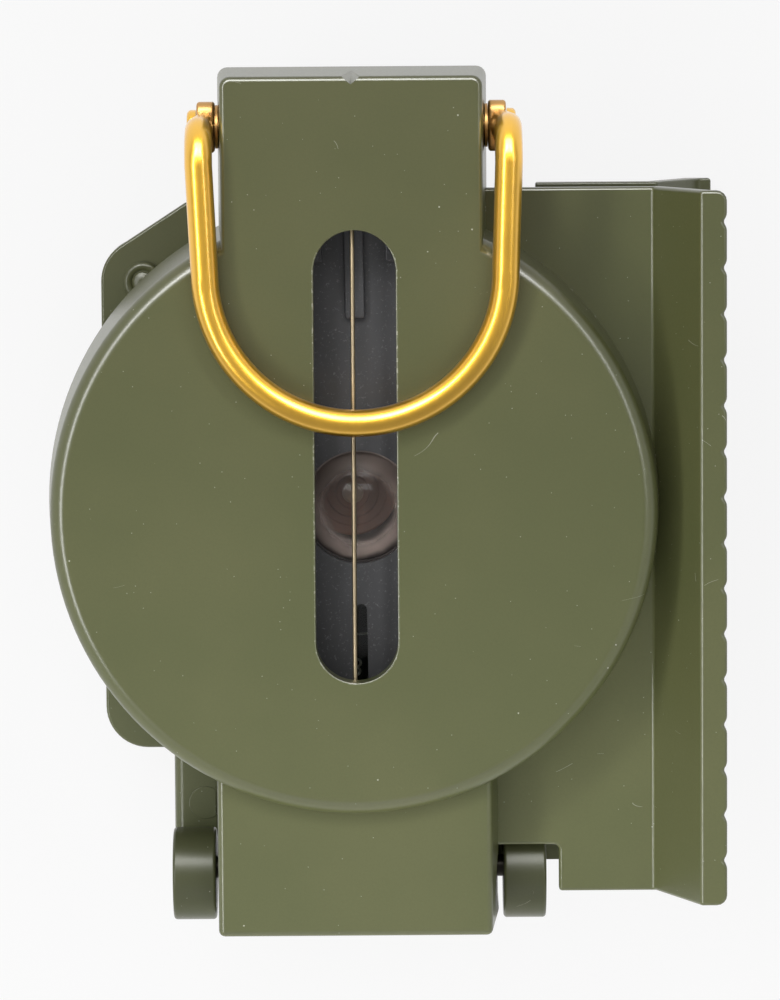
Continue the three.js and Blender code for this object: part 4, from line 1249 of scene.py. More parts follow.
@dataclass
class ThumbLoop:
    """The thumb loop: a bent brass wire whose flattened ends turn on two screws."""

    wire: float = 1.2
    wire_sides: int = 28
    elbow_steps: int = 12
    bow_steps: int = 72
    half: float = 13.38
    pivot: Flat = LOOP_PIVOT
    plane: float = 27.5
    bend: float = 3.0
    bow: float = 13.0
    bow_y: float = 21.1
    foot: float = 21.4
    eye_inner: float = 11.95
    eye_outer: float = 13.48
    eye_radius: float = 2.2
    eye_zone: float = 1.0
    eye_spread: float = 1.3
    eye_margin: float = 0.1
    eye_shoulder: Spot = (1.0, 0.9, 1.5)
    eye_back: Flat = (0.5, 1.9)
    eye_round: float = 0.22
    bore: float = 1.05
    lean: float = 0.4
    drift: float = 0.2
    screw: float = 0.8
    shoulder: Spot = (1.9, 11.66, 11.9)
    head_radius: float = 1.5
    head_inner: float = 13.58
    head_outer: float = 14.38
    head_round: float = 0.4
    screw_tip: float = 10.1
    tip_edge: float = 0.2
    slot_width: float = 0.4
    slot_depth: float = 0.35

    def _bent_wire(self) -> Blank:
        """The wire, drawn round its elbows and its bow.

        Returns:
            The wire.
        """
        clear_bench()
        y, _ = self.pivot
        bpy.ops.mesh.primitive_circle_add(vertices=self.wire_sides, radius=self.wire, fill_type="NGON",
                                          location=(-self.half, y, self.foot))
        wire = Blank("loop_wire")
        wire.faces(lambda middle, normal: True)
        leg = y - self.bend - self.bow_y
        lean = self.half - self.bow
        wire.extrude((0, 0, self.plane - self.bend - self.foot))
        wire.sweep(90, (0, y - self.bend, self.plane - self.bend), (1, 0, 0), self.elbow_steps)
        wire.extrude((lean, -leg, 0))
        wire.sweep(180, (0, self.bow_y, self.plane), (0, 0, 1), self.bow_steps)
        wire.extrude((lean, leg, 0))
        wire.sweep(-90, (0, y - self.bend, self.plane - self.bend), (1, 0, 0), self.elbow_steps)
        wire.extrude((0, 0, self.foot - self.plane + self.bend))
        wire.tidy()
        thick = (self.eye_outer - self.eye_inner) / 2 - self.eye_margin
        inward = self.half - (self.eye_outer + self.eye_inner) / 2
        for side in (-1, 1):
            wire.points(lambda p: p.z < self.foot + TOUCH and p.x * side > 0)
            wire.resize((thick / self.wire, self.eye_spread, 1), (side * self.half, y, self.foot))
            wire.move((-side * inward, 0, 0))
        wire.points(lambda p: p.z > self.foot + self.eye_zone)
        return wire.turn(self.lean, "Z", (0, y, 0)).move((self.drift, 0, 0))

    def _eye(self) -> Blank:
        """The flattened end of the wire on the right.

        Returns:
            The end.
        """
        y, z = self.pivot
        radius = self.eye_radius
        straight, curve, rise = self.eye_shoulder
        back, back_rise = self.eye_back
        outline = [*arc((y, z), radius, 180, 360, 20), (y + radius, z + straight),
                   *arc((y + radius - curve, z + rise), curve, 0, 90, 5),
                   *arc((y - radius + back, z + back_rise), back, 90, 180, 4)]
        eye = Blank.prism("eye", flat_on_x(outline, self.eye_inner), (self.eye_outer - self.eye_inner, 0, 0))
        return eye.soften(self.eye_round, 3, 40)

    def _screw(self) -> Blank:
        """The slotted screw on the right.

        Returns:
            The screw.
        """
        y, z = self.pivot
        radius, inner, outer = self.shoulder
        shank, tip, edge, curve = self.screw, self.screw_tip, self.tip_edge, self.head_round
        profile = [(0, tip), (shank - edge, tip), (shank, tip + edge),
                   (shank, inner), (radius, inner), (radius, outer), (shank, outer),
                   (shank, self.head_inner), (self.head_radius, self.head_inner),
                   *arc((self.head_radius - curve, self.head_outer - curve), curve, 0, 90, 5),
                   (0, self.head_outer)]
        screw = Blank.turned("loop_screw_r", profile, SMALL_SIDES)
        screw.points(lambda p: True).turn(90, "Y", (0, 0, 0)).move((0, y, z))
        half = self.slot_width / 2
        slot = Blank.box("slot", (self.head_outer - self.slot_depth, y - OVERCUT, z - half),
                         (self.head_outer + OVERCUT, y + OVERCUT, z + half))
        return screw.combine(Join.CUT, slot)

    def dress(self) -> None:
        """Builds and finishes the loop and its screws."""
        loop = self._bent_wire()
        eye = self._eye()
        loop.combine(Join.ADD, eye.twin("eye_left", flip=True), eye)
        reach = self.eye_outer + OVERCUT
        loop.combine(Join.CUT, Blank.rod("bore", self.bore, reach, self.pivot))
        brass = loop.finish("loop", "loop_brass", BRASS.material(), "thumb_loop", smooth=50)
        touch_up(brass, DARKER_BRASS.material(), lambda middle, normal: middle.z < self.foot + self.eye_zone)
        right = self._screw()
        left = right.twin("loop_screw_l", flip=True)
        for screw, side in ((right, "right"), (left, "left")):
            turned = screw.finish("lid", "loop_brass", BRASS.material(), f"loop_screw_{side}")
            touch_up(turned, DARKER_BRASS.material(), lambda middle, normal: abs(middle.x) < self.eye_inner)


@dataclass
class BaseFrame:
    """The base: a flange with a bowl, hinge arms, a ruler wing and the end block under the tab."""

    flange: Flat = (6.2, 8.0)
    step: float = 0.03
    bowl: float = 24.6
    bore: float = 23.0
    rim: float = 15.0
    margin: float = 1.0
    lug: Flat = LUG
    lug_radius: float = 3.8
    slant: float = 33.0
    slant_end: float = -14.5
    slant_round: float = 0.8
    flange_round: float = 0.25
    rim_round: float = 0.3
    rivet_bore: float = 1.25
    hinge: Flat = LID_HINGE
    knuckle: float = 4.15
    knuckle_drop: float = 0.55
    knuckle_round: float = 0.3
    knuckle_sides: int = 72
    knuckle_left: Flat = (-16.5, -12.65)
    knuckle_right: Flat = (13.1, 16.9)
    arm_inner: float = 12.6
    arm_outer: float = 16.5
    web_end: Spot = (16.0, 22.0, -33.6)
    arm_root: float = -18.0
    arm_top: float = 10.2
    arm_chamfer: float = 0.9
    arm_round: float = 0.15
    arm_room: float = 0.35
    web_round: float = 0.6
    hinge_bore: float = 1.25
    block_half: float = 10.8
    block: Flat = (19.3, 37.6)
    block_top: float = 12.9
    block_wall: float = 1.6
    block_corner: float = 1.0
    block_round: float = 0.35
    ear: Flat = (5.3, 8.3)
    ear_pivot: Flat = ARM_HINGE
    ear_radius: float = 2.0
    ear_round: float = 0.22
    ear_bore: float = 1.05
    wing_back: float = -31.2
    wing_root: float = -1.0
    wing_corner: float = 0.25
    wing_softness: float = 0.18
    strip: Flat = (0.3, 1.8)
    loop_room: Flat = (16.4, 24.5)
    mark: Flat = (-13.7, -27.8)
    mark_height: float = 0.1
    mark_root: float = 0.3
    mark_radius: float = 1.5
    mark_inset: float = 0.2

    def _flange(self) -> Blank:
        """The flange on the left, with its two lugs.

        Returns:
            The flange.
        """
        x, y = self.lug
        start = math.radians(90 + self.slant)
        slant_x = -x + self.lug_radius * math.cos(start)
        slant_y = y + self.lug_radius * math.sin(start)
        end = slant_y + (self.slant_end - slant_x) * math.tan(math.radians(self.slant))
        outline = [(0, -y), (0, y), (-self.block_half, y), (self.slant_end, y), (self.slant_end, end),
                   *arc((-x, y), self.lug_radius, 90 + self.slant, 180, 10),
                   *arc((-x, -y), self.lug_radius, 180, 270, 12),
                   (-self.arm_inner, -y - self.lug_radius)]
        low, high = self.flange[0] + self.step, self.flange[1] - self.step
        plate = Blank.prism("base_casting", flat_on_z(outline, low), (0, 0, high - low))
        plate.edges(lambda a, b: min(a.y, b.y) > end - TOUCH and abs(a.z - b.z) > 1)
        return plate.bevel(self.slant_round, 5).soften(self.flange_round, 3, 40)

    def _wing(self) -> Blank:
        """The ruler wing, turned down, with square corners.

        Returns:
            The wing.
        """
        wing = Wing(corner=self.wing_corner, softness=self.wing_softness)
        under, over = self.flange
        root, (low, high) = self.wing_root, self.strip
        section = [(root, under), (wing.foot, under), (wing.head, low), (wing.edge, low), (wing.edge, high),
                   (wing.head + wing.head_step, high), (wing.foot + wing.foot_step, over), (root, over)]
        hinge_room = Blank.box("hinge_room", (-OVERCUT, self.wing_back - OVERCUT, 0),
                               (self.arm_inner + self.arm_room, -self.lug[1], self.rim))
        loop_room = Blank.box("loop_room", (-OVERCUT, self.loop_room[1], 0),
                              (self.loop_room[0], wing.front + OVERCUT, self.rim))
        return wing.build("base_wing", section, self.wing_back, [hinge_room, loop_room])

    def _hinge_arm(self) -> Blank:
        """The hinge arm on the left.

        Returns:
            The arm.
        """
        arm = Blank.box("hinge_arm", (-self.arm_outer, self.hinge[0], self.flange[0] + 5 * self.step),
                        (-self.arm_inner, self.arm_root, self.arm_top))
        outer, top = TOUCH - self.arm_outer, self.arm_top - TOUCH
        arm.edges(lambda a, b: max(a.x, b.x) < outer and min(a.z, b.z) > top)
        return arm.bevel(self.arm_chamfer, 3).soften(self.arm_round, 2, 50)

    def _knuckle(self, span: Flat) -> Blank:
        """A knuckle of the lid's hinge.

        Args:
            span: where it starts and ends in X.

        Returns:
            The knuckle.
        """
        y, z = self.hinge
        knuckle = Blank.drum("knuckle", self.knuckle, *span, None, (0, y - self.knuckle_drop, z), Axis.X,
                             self.knuckle_sides)
        return knuckle.edges(lambda a, b: abs(a.x - b.x) < TOUCH).bevel(self.knuckle_round, 4)

    def _ear(self) -> Blank:
        """The ear of the lens arm's hinge on the right.

        Returns:
            The ear.
        """
        inner, outer = self.ear
        y = self.ear_pivot[0]
        outline = [(y - self.ear_radius, self.block_top - self.block_wall / 2),
                   (y + self.ear_radius, self.block_top - self.block_wall / 2),
                   *arc(self.ear_pivot, self.ear_radius, 0, 180, 18)]
        ear = Blank.prism("ear", flat_on_x(outline, inner), (outer - inner, 0, 0))
        return ear.soften(self.ear_round, 3, 40)

    def _end_block(self) -> Blank:
        """The block under the tab.

        Returns:
            The block.
        """
        start, end = self.block
        block = Blank.box("end_block", (-self.block_half, start, self.flange[0] + 4 * self.step),
                          (self.block_half, end, self.block_top))
        block.edges(lambda a, b: min(a.y, b.y) > end - TOUCH and abs(a.z - b.z) > 1)
        return block.bevel(self.block_corner, 5).soften(self.block_round, 3, 40)

    def _ejector_mark(self) -> Blank:
        """The round mark on the left hinge arm, cut off along the arm's inner edge.

        Returns:
            The mark.
        """
        spot = Blank.post("ejector_mark", self.mark_radius, self.arm_top - self.mark_root,
                          self.arm_top + self.mark_height, self.mark)
        spot.edges(lambda a, b: min(a.z, b.z) > self.arm_top).bevel(self.mark_height * 0.8, 2)
        edge = Blank.box("spot_edge", (-self.arm_outer, -self.bowl * 2, 0),
                         (-self.arm_inner - self.mark_inset, 0, self.top_room()))
        return spot.combine(Join.KEEP, edge)

    def _web_end(self) -> Blank:
        """The end of the web beside the right knuckle.

        Returns:
            The web's end.
        """
        inner, outer, end = self.web_end
        low, high = self.flange[0] + 6 * self.step, self.flange[1] - 2 * self.step
        web = Blank.box("web_end", (inner, end, low), (outer, self.arm_root, high))
        web.edges(lambda a, b: max(a.y, b.y) < end + TOUCH and abs(a.z - b.z) > 1)
        return web.bevel(self.web_round, 4)

    def build(self) -> Blank:
        """The base as one casting, whose pieces are staggered in height so that no two faces share a plane.

        Returns:
            The casting.
        """
        low, high = self.flange
        step = self.step
        base = self._flange()
        ring = Blank.drum("ring", self.bowl + self.margin, low + 2 * step, high + step)
        ring.edges(lambda a, b: min(a.z, b.z) > high).bevel(self.flange_round, 3)
        bowl = Blank.drum("bowl", self.bowl, low + 3 * step, self.rim)
        bowl.edges(lambda a, b: min(a.z, b.z) > self.rim - TOUCH).bevel(self.rim_round, 3)
        block = self._end_block()
        arm = self._hinge_arm()
        ear = self._ear()
        spot = self._ejector_mark()
        web_end = self._web_end()
        base.combine(Join.ADD, ring, bowl, self._wing(), arm.twin("arm_right", flip=True), arm, web_end,
                     block, self._knuckle(self.knuckle_left), self._knuckle(self.knuckle_right),
                     ear.twin("ear_left", flip=True), ear, spot)
        half = self.block_half - self.block_wall
        pocket = Blank.box("pocket", (-half, self.bowl + self.block_wall, low - OVERCUT),
                           (half, self.block[1] - self.block_wall, self.block_top - self.block_wall))
        reach = self.arm_outer + OVERCUT
        cutters = [pocket, Blank.drum("bore", self.bore, low - OVERCUT, self.rim + OVERCUT),
                   Blank.rod("hinge_bore", self.hinge_bore, reach, self.hinge),
                   Blank.rod("ear_bore", self.ear_bore, reach, self.ear_pivot)]
        for place in four_corners(self.lug):
            cutters.append(Blank.post("rivet_bore", self.rivet_bore, 0, self.top_room(), place))
        return base.combine(Join.CUT, *cutters).tidy()

    def top_room(self) -> float:
        """A height clear of all of the base."""
        return self.rim + 2 * OVERCUT

    def dress(self) -> None:
        """Builds and finishes the base, with painted shade on the knuckles."""
        base = self.build().finish("base", "case_paint", OLIVE_DARK.material(), "base_frame")
        y, z = self.hinge[0] - self.knuckle_drop, self.hinge[1]
        # painted shade: the knuckles take the darker paint
        touch_up(base, OLIVE_KNUCKLE_SHADE.material(), lambda middle, normal: (
            middle.z > self.arm_top and math.hypot(middle.y - y, middle.z - z) < self.knuckle + TOUCH))


@dataclass
class BottomCover:
    """The dish under the base, whose four ears are riveted to the flange."""

    radius: float = 24.6
    top: float = 6.1
    floor: float = 1.6
    wall: float = 1.5
    round: float = 1.0
    ear_low: float = 4.5
    ear_round: float = 0.2
    lug: Flat = LUG
    lug_radius: float = 3.8
    bore: float = 1.25
    rivet: float = 1.0
    tail_round: float = 0.3
    tail_radius: float = 1.7
    tail: Flat = (3.7, 4.4)
    collar_radius: float = 1.8
    collar: Flat = (8.1, 8.7)
    roll: float = 0.42
    groove: Spot = (0.2, 0.02, 0.3)
    dome_radius: float = 0.9
    crown: float = 1.9
    dome: float = 9.0

    def _rivet(self, place: Flat) -> Blank:
        """One rivet with a collar and a domed head.

        Args:
            place: where it stands.

        Returns:
            The rivet.
        """
        low, high = self.collar
        tail_low, tail_high = self.tail
        curve = self.tail_round
        out, above, hollow = self.groove
        profile = [(0, tail_low), *arc((self.tail_radius - curve, tail_low + curve), curve, 270, 360, 4),
                   (self.tail_radius, tail_high), (self.rivet, tail_high), (self.rivet, low),
                   (self.collar_radius, low),
                   *arc((self.collar_radius - self.roll, high - self.roll), self.roll, 0, 150, 9),
                   *arc((self.dome_radius + out, high + above), hollow, 250, 200, 4),
                   *arc((0, self.dome - self.crown), self.crown, 64, 90, 7)]
        profile[-1] = (0, self.dome)
        return Blank.turned("rivet", profile, SMALL_SIDES, place)

    def build(self) -> Blank:
        """The dish with its ears.

        Returns:
            The dish.
        """
        inner = self.radius - self.wall
        profile = [(0, 0), *arc((self.radius - self.round, self.round), self.round, 270, 360, 6),
                   (self.radius, self.top), (inner, self.top), (inner, self.floor), (0, self.floor)]
        dish = Blank.turned("bottom_dish", profile)
        for place in four_corners(self.lug):
            ear = Blank.post("ear", self.lug_radius, self.ear_low, self.top, place)
            ear.soften(self.ear_round, 2, 50)
            ear.combine(Join.CUT, Blank.drum("inside", inner, self.ear_low - OVERCUT, self.top + OVERCUT))
            dish.combine(Join.ADD, ear)
            dish.combine(Join.CUT, Blank.post("bore", self.bore, self.floor, self.top + OVERCUT, place))
        return dish.tidy()

    def dress(self) -> None:
        """Builds and finishes the dish and its rivets."""
        self.build().finish("base", "case_paint", OLIVE_DARK.material(), "bottom_cover")
        start, *others = four_corners(self.lug)
        first = self._rivet(start)
        rivets = [first]
        for number, place in enumerate(others, 2):
            rivets.append(first.twin(f"rivet_{number}", (place[0] - start[0], place[1] - start[1], 0)))
        first.obj.name = "rivet_1"
        for number, rivet in enumerate(rivets, 1):
            rivet.finish("base", "rivet_paint", OLIVE_RIVET.material(), f"flange_rivet_{number}")


@dataclass
class HingePins:
    """The pins of the lid's hinge and of the lens arm's hinge."""

    lid_pin: float = 1.0
    lid_half: float = 16.4
    lid_place: Flat = LID_HINGE
    arm_pin: float = 0.8
    arm_half: float = 8.2
    arm_place: Flat = ARM_HINGE
    end_share: float = 0.45

    def _pin(self, name: str, radius: float, half: float, place: Flat) -> Blank:
        """A pin across the case, with rounded ends.

        Args:
            name: its name.
            radius: its radius.
            half: half its length.
            place: where it lies in Y and Z.

        Returns:
            The pin.
        """
        pin = Blank.rod(name, radius, half, place)
        return pin.edges(lambda a, b: abs(a.x - b.x) < TOUCH).bevel(radius * self.end_share, 4)

    def dress(self) -> None:
        """Builds and finishes both pins."""
        self._pin("hinge_rod", self.lid_pin, self.lid_half, self.lid_place).finish(
            "base", "pin_steel", DARK_STEEL.material(), "lid_hinge_pin")
        self._pin("arm_rod", self.arm_pin, self.arm_half, self.arm_place).finish(
            "base", "pin_steel", PIN_STEEL.material(), "arm_hinge_pin")


@dataclass
class LensArm:
    """The lens arm: a black plate with a hinge barrel, ribs, a lens and a sighting slit."""

    low: float = 17.9
    face: float = 19.9
    half: float = 7.5
    tip: float = -18.0
    tip_radius: float = 4.0
    shoulder: float = 27.5
    pivot: Flat = ARM_HINGE
    barrel: float = 2.0
    barrel_half: float = 5.0
    pin_bore: float = 1.05
    rib_half: float = 0.9
    rib_foot: float = 16.7
    rib_top: float = 20.7
    rib_root: float = 1.0
    rib_gap: float = 0.2
    cheek_inner: float = 2.75
    cheek_foot: float = 21.6
    cheek_gap: Flat = (0.05, 0.1)
    barrel_round: float = 0.2
    slit_half: float = 0.5
    slit_top: float = -8.6
    lens_bore: float = 5.0
    lens_seat: float = 5.4
    seat_top: float = 19.3
    ring_seat: float = 6.2
    ring_top: float = 18.6
    softness: float = 0.18
    glass_edge: float = 0.1
    lens: float = 5.3
    lens_low: float = 18.6
    lens_rim: float = 19.2
    dome: float = 4.8
    dome_top: float = 21.5
    ring_bore: float = 4.4
    ring_outer: float = 6.1
    ring_span: Flat = (17.95, 18.45)
    play: float = 0.8

    def _plate(self) -> Blank:
        """The plate with its barrel, rib and cheeks.

        Returns:
            The plate.
        """
        corner = self.half - self.tip_radius
        outline = [(self.barrel_half, self.pivot[0]), (-self.barrel_half, self.pivot[0]),
                   (-self.barrel_half, self.shoulder), (-self.half, self.shoulder),
                   *arc((-corner, self.tip + self.tip_radius), self.tip_radius, 180, 270, 12),
                   *arc((corner, self.tip + self.tip_radius), self.tip_radius, 270, 360, 12),
                   (self.half, self.shoulder), (self.barrel_half, self.shoulder)]
        plate = Blank.prism("arm_bar", flat_on_z(outline, self.low), (0, 0, self.face - self.low))
        plate.soften(self.softness, 3, 40)
        root = self.face - self.rib_root
        rib = Blank.box("rib", (-self.rib_half, self.rib_foot, root),
                        (self.rib_half, self.shoulder - self.rib_gap, self.rib_top))
        side, end = self.cheek_gap
        cheek = Blank.box("cheek", (self.cheek_inner, self.cheek_foot, root),
                          (self.half - side, self.shoulder - end, self.rib_top))
        rib.soften(self.softness, 3)
        cheek.soften(self.softness, 3)
        barrel = Blank.rod("barrel", self.barrel, self.barrel_half, self.pivot)
        barrel.edges(lambda a, b: abs(a.x - b.x) < TOUCH).bevel(self.barrel_round, 3)
        return plate.combine(Join.ADD, barrel, rib, cheek.twin("cheek_left", flip=True), cheek)

    def build(self) -> Blank:
        """The arm with its lens seat and slit.

        Returns:
            The arm.
        """
        arm = self._plate()
        low, high = self.low - OVERCUT, self.rib_top + OVERCUT
        slit = [(-self.slit_half, self.tip - OVERCUT), (self.slit_half, self.tip - OVERCUT),
                *arc((0, self.slit_top - self.slit_half), self.slit_half, 0, 180, 12)]
        reach = self.barrel_half + OVERCUT
        arm.combine(
            Join.CUT,
            Blank.post("lens_bore", self.lens_bore, low, high, sides=LENS_SIDES),
            Blank.post("lens_seat", self.lens_seat, low, self.seat_top, sides=LENS_SIDES),
            Blank.post("ring_seat", self.ring_seat, low, self.ring_top, sides=LENS_SIDES),
            Blank.prism("slit", flat_on_z(slit, low), (0, 0, high - low)),
            Blank.rod("pin_bore", self.pin_bore, reach, self.pivot))
        return arm.tidy()

    def _lens(self) -> Blank:
        """The domed lens.

        Returns:
            The lens.
        """
        height = self.dome_top - self.lens_rim
        sphere = (self.dome ** 2 + height ** 2) / (2 * height)
        start = math.degrees(math.acos(self.dome / sphere))
        radius, edge = self.lens, self.glass_edge
        profile = [(0, self.lens_low), (radius - edge, self.lens_low), (radius, self.lens_low + edge),
                   (radius, self.lens_rim - edge), (radius - edge, self.lens_rim),
                   *arc((0, self.dome_top - sphere), sphere, start, 90, 24)]
        profile[-1] = (0, self.dome_top)
        return Blank.turned("lens_glass", profile, LENS_SIDES)

    def _ring(self) -> Blank:
        """The ring that holds the lens.

        Returns:
            The ring.
        """
        low, high = self.ring_span
        profile = [(self.ring_bore + self.glass_edge, low), (self.ring_outer, low), (self.ring_outer, high),
                   (self.ring_bore, high), (self.ring_bore, low + self.glass_edge)]
        return Blank.turned("lens_collar", profile, LENS_SIDES, closed=True)

    def dress(self) -> None:
        """Builds and finishes the arm, its lens and the ring."""
        arm, lens, ring = self.build(), self._lens(), self._ring()
        for piece in (arm, lens, ring):
            piece.points(lambda p: True).turn(self.play, "Z", (0, self.pivot[0], 0))
        arm.finish("arm", "black_plastic", BLACK.material(), "lens_arm")
        lens.finish("arm", "lens_clear", LENS_GLASS.material(), "lens")
        ring.finish("arm", "black_plastic", BLACK.material(), "lens_ring")


@dataclass
class Bezel:
    """The turning bezel with its crystal and luminous line."""

    radius: float = 24.3
    tooth: float = 0.35
    teeth: int = 36
    tooth_steps: int = 6
    edge_round: float = 0.3
    span: Flat = (15.3, 17.6)
    bore: float = 20.2
    rebate: float = 21.1
    lip: float = 0.7
    spigot: float = 22.7
    spigot_low: float = 14.6
    spigot_root: float = 0.5
    crystal: float = 21.0
    crystal_span: Flat = (15.6, 16.8)
    crystal_round: float = 0.12
    line_half: float = 0.5
    line_end: float = 0.3
    line_round: float = 0.05
    line: Flat = (3.0, 18.7)
    line_span: Flat = (15.3, 15.5)

    def build(self) -> Blank:
        """The toothed ring.

        Returns:
            The ring.
        """
        low, high = self.span
        outline = []
        steps = self.teeth * self.tooth_steps
        for step in range(steps):
            turn = FULL_TURN * step / steps
            reach = self.radius - self.tooth * (0.5 - 0.5 * math.cos(turn * self.teeth))
            outline.append((reach * math.cos(turn), reach * math.sin(turn)))
        ring = Blank.prism("bezel_rim", flat_on_z(outline, low), (0, 0, high - low))
        ring.soften(self.edge_round, 3, 50)
        spigot = Blank.drum("spigot", self.spigot, self.spigot_low, low + self.spigot_root)
        ring.combine(Join.ADD, spigot)
        under = self.spigot_low - OVERCUT
        ring.combine(Join.CUT, Blank.drum("rebate", self.rebate, under, high - self.lip),
                     Blank.drum("bore", self.bore, under, high + OVERCUT))
        ring.tidy()
        ring.edges(lambda a, b: all(p.z > high - TOUCH and math.hypot(p.x, p.y) < self.bore + NEAR
                                    for p in (a, b)))
        return ring.bevel(self.edge_round, 3)

    def dress(self) -> None:
        """Builds and finishes the ring, the crystal and the line."""
        self.build().finish("bezel", "bezel_paint", OLIVE_BEZEL.material(), "bezel_ring")
        low, high = self.crystal_span
        glass = Blank.drum("bezel_glass", self.crystal, low, high)
        glass.edges(lambda a, b: abs(a.z - b.z) < TOUCH).bevel(self.crystal_round, 2)
        glass.finish("bezel", "crystal", CRYSTAL.material(), "bezel_crystal")
        line = Blank.box("glow_line", (-self.line_half, self.line[0], self.line_span[0]),
                         (self.line_half, self.line[1], self.line_span[1]))
        line.edges(lambda a, b: abs(a.z - b.z) > TOUCH).bevel(self.line_end, 4)
        line.soften(self.line_round, 2, 60)
        line.finish("bezel", "glow_paint", GLOW.material(), "marching_line")


@dataclass
class Dial:
    """The dial: a printed card on a magnet, with a jewel cap, numbers and a north arrow."""

    radius: float = 20.0
    span: Flat = (9.0, 9.8)
    edge_round: float = 0.15
    bore: float = 1.6
    number_radius: float = 15.4
    number_size: float = 2.4
    number_step: int = 30
    ink_thick: float = 0.05
    arrow: Flat = (6.0, 12.0)
    arrow_half: float = 2.2
    arrow_notch: float = 1.0
    jewel_seat: float = 9.9
    jewel_radius: float = 2.6
    jewel_round: float = 0.15
    jewel_rim: float = 10.3
    jewel_steps: tuple[Flat, ...] = ((2.1, 0), (2.0, 0.12), (1.6, 0.14),
                                     (1.5, 0.32), (1.05, 0.36), (0.95, 0.55))
    jewel_top: float = 11.1
    stem: float = 1.5
    stem_low: float = 8.8
    cup: float = 1.0
    cup_top: float = 10.3
    tip_radius: float = 0.58
    tip_round: float = 0.08
    tip_foot: float = 0.62

    def _numbers(self) -> Blank:
        """Degrees printed round the card, as thin raised ink.

        Returns:
            The numbers.
        """
        first: Blank | None = None
        for degrees in range(0, 360, self.number_step):
            clear_bench()
            turn = math.radians(degrees)
            place = (self.number_radius * math.sin(turn), self.number_radius * math.cos(turn), self.span[1])
            bpy.ops.object.text_add(location=place, rotation=(0, 0, -turn))
            words = bpy.context.object
            words.data.body = str(degrees)
            words.data.size = self.number_size
            words.data.align_x = "CENTER"
            words.data.align_y = "CENTER"
            words.data.resolution_u = 4
            words.data.extrude = self.ink_thick
            bpy.ops.object.convert(target="MESH")
            number = Blank("dial_numbers")
            if first is None:
                first = number
                continue
            first.obj.select_set(True)
            bpy.context.view_layer.objects.active = first.obj
            bpy.ops.object.join()
        first.obj.name = "dial_numbers"
        return first

    def _jewel(self) -> Blank:
        """The jewel cap on the card's middle.

        Returns:
            The cap.
        """
        seat, rim, top = self.jewel_seat, self.jewel_rim, self.jewel_top
        curve, tip, tip_curve = self.jewel_round, self.tip_radius, self.tip_round
        profile = [(0, self.cup_top), (self.cup, self.stem_low), (self.stem, self.stem_low),
                   (self.stem, seat), (self.jewel_radius, seat),
                   *arc((self.jewel_radius - curve, rim - curve), curve, 0, 90, 4),
                   *((radius, rim + rise) for radius, rise in self.jewel_steps),
                   (tip + tip_curve, rim + self.tip_foot),
                   *arc((tip - tip_curve, top - tip_curve), tip_curve, 0, 90, 3), (0, top)]
        return Blank.turned("jewel_top", profile, SMALL_SIDES)

    def dress(self) -> None:
        """Builds and finishes the card, the print and the jewel cap."""
        low, high = self.span
        card = Blank.drum("dial_disc", self.radius, low, high)
        card.edges(lambda a, b: min(a.z, b.z) > high - TOUCH).bevel(self.edge_round, 2)
        card.combine(Join.CUT, Blank.post("bore", self.bore, low - 1, high + 1))
        card.finish("dial", "dial_print", CARD.material(), "dial_card")
        self._numbers().finish("dial", "dial_print", INK.material())
        foot, tip = self.arrow
        outline = [(-self.arrow_half, foot), (0, foot + self.arrow_notch), (self.arrow_half, foot), (0, tip)]
        arrow = Blank.prism("north_arrow", flat_on_z(outline, high - self.ink_thick),
                            (0, 0, 2 * self.ink_thick))
        arrow.finish("dial", "glow_paint", GLOW.material())
        jewel = self._jewel().finish("dial", "jewel_copper", COPPER.material(), "jewel_cap")
        touch_up(jewel, COPPER_TIP.material(), lambda middle, normal: (
            middle.z > self.jewel_rim + self.tip_foot + TOUCH))


@dataclass
class Capsule:
    """The capsule round the dial: its crystal, and the inner pieces that keep their solids."""

    radius: float = 22.7
    span: Flat = (12.8, 14.0)
    crystal_round: float = 0.12

    def dress(self) -> None:
        """Builds the crystal and dresses the inner pieces."""
        low, high = self.span
        glass = Blank.drum("capsule_glass", self.radius, low, high)
        glass.edges(lambda a, b: abs(a.z - b.z) < TOUCH).bevel(self.crystal_round, 2)
        glass.finish("base", "crystal", CRYSTAL.material(), "capsule_crystal")
        looks = {"capsule_cup": BLACK, "capsule_seal": RUBBER, "bezel_spring": SPRING_STEEL,
                 "pivot_needle": PIN_STEEL, "dial_magnet": MAGNET_STEEL}
        for node, look in looks.items():
            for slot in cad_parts[node].material_slots:
                slot.material = look.material()
            log.info("%s: dressed as %s", node, look.title)


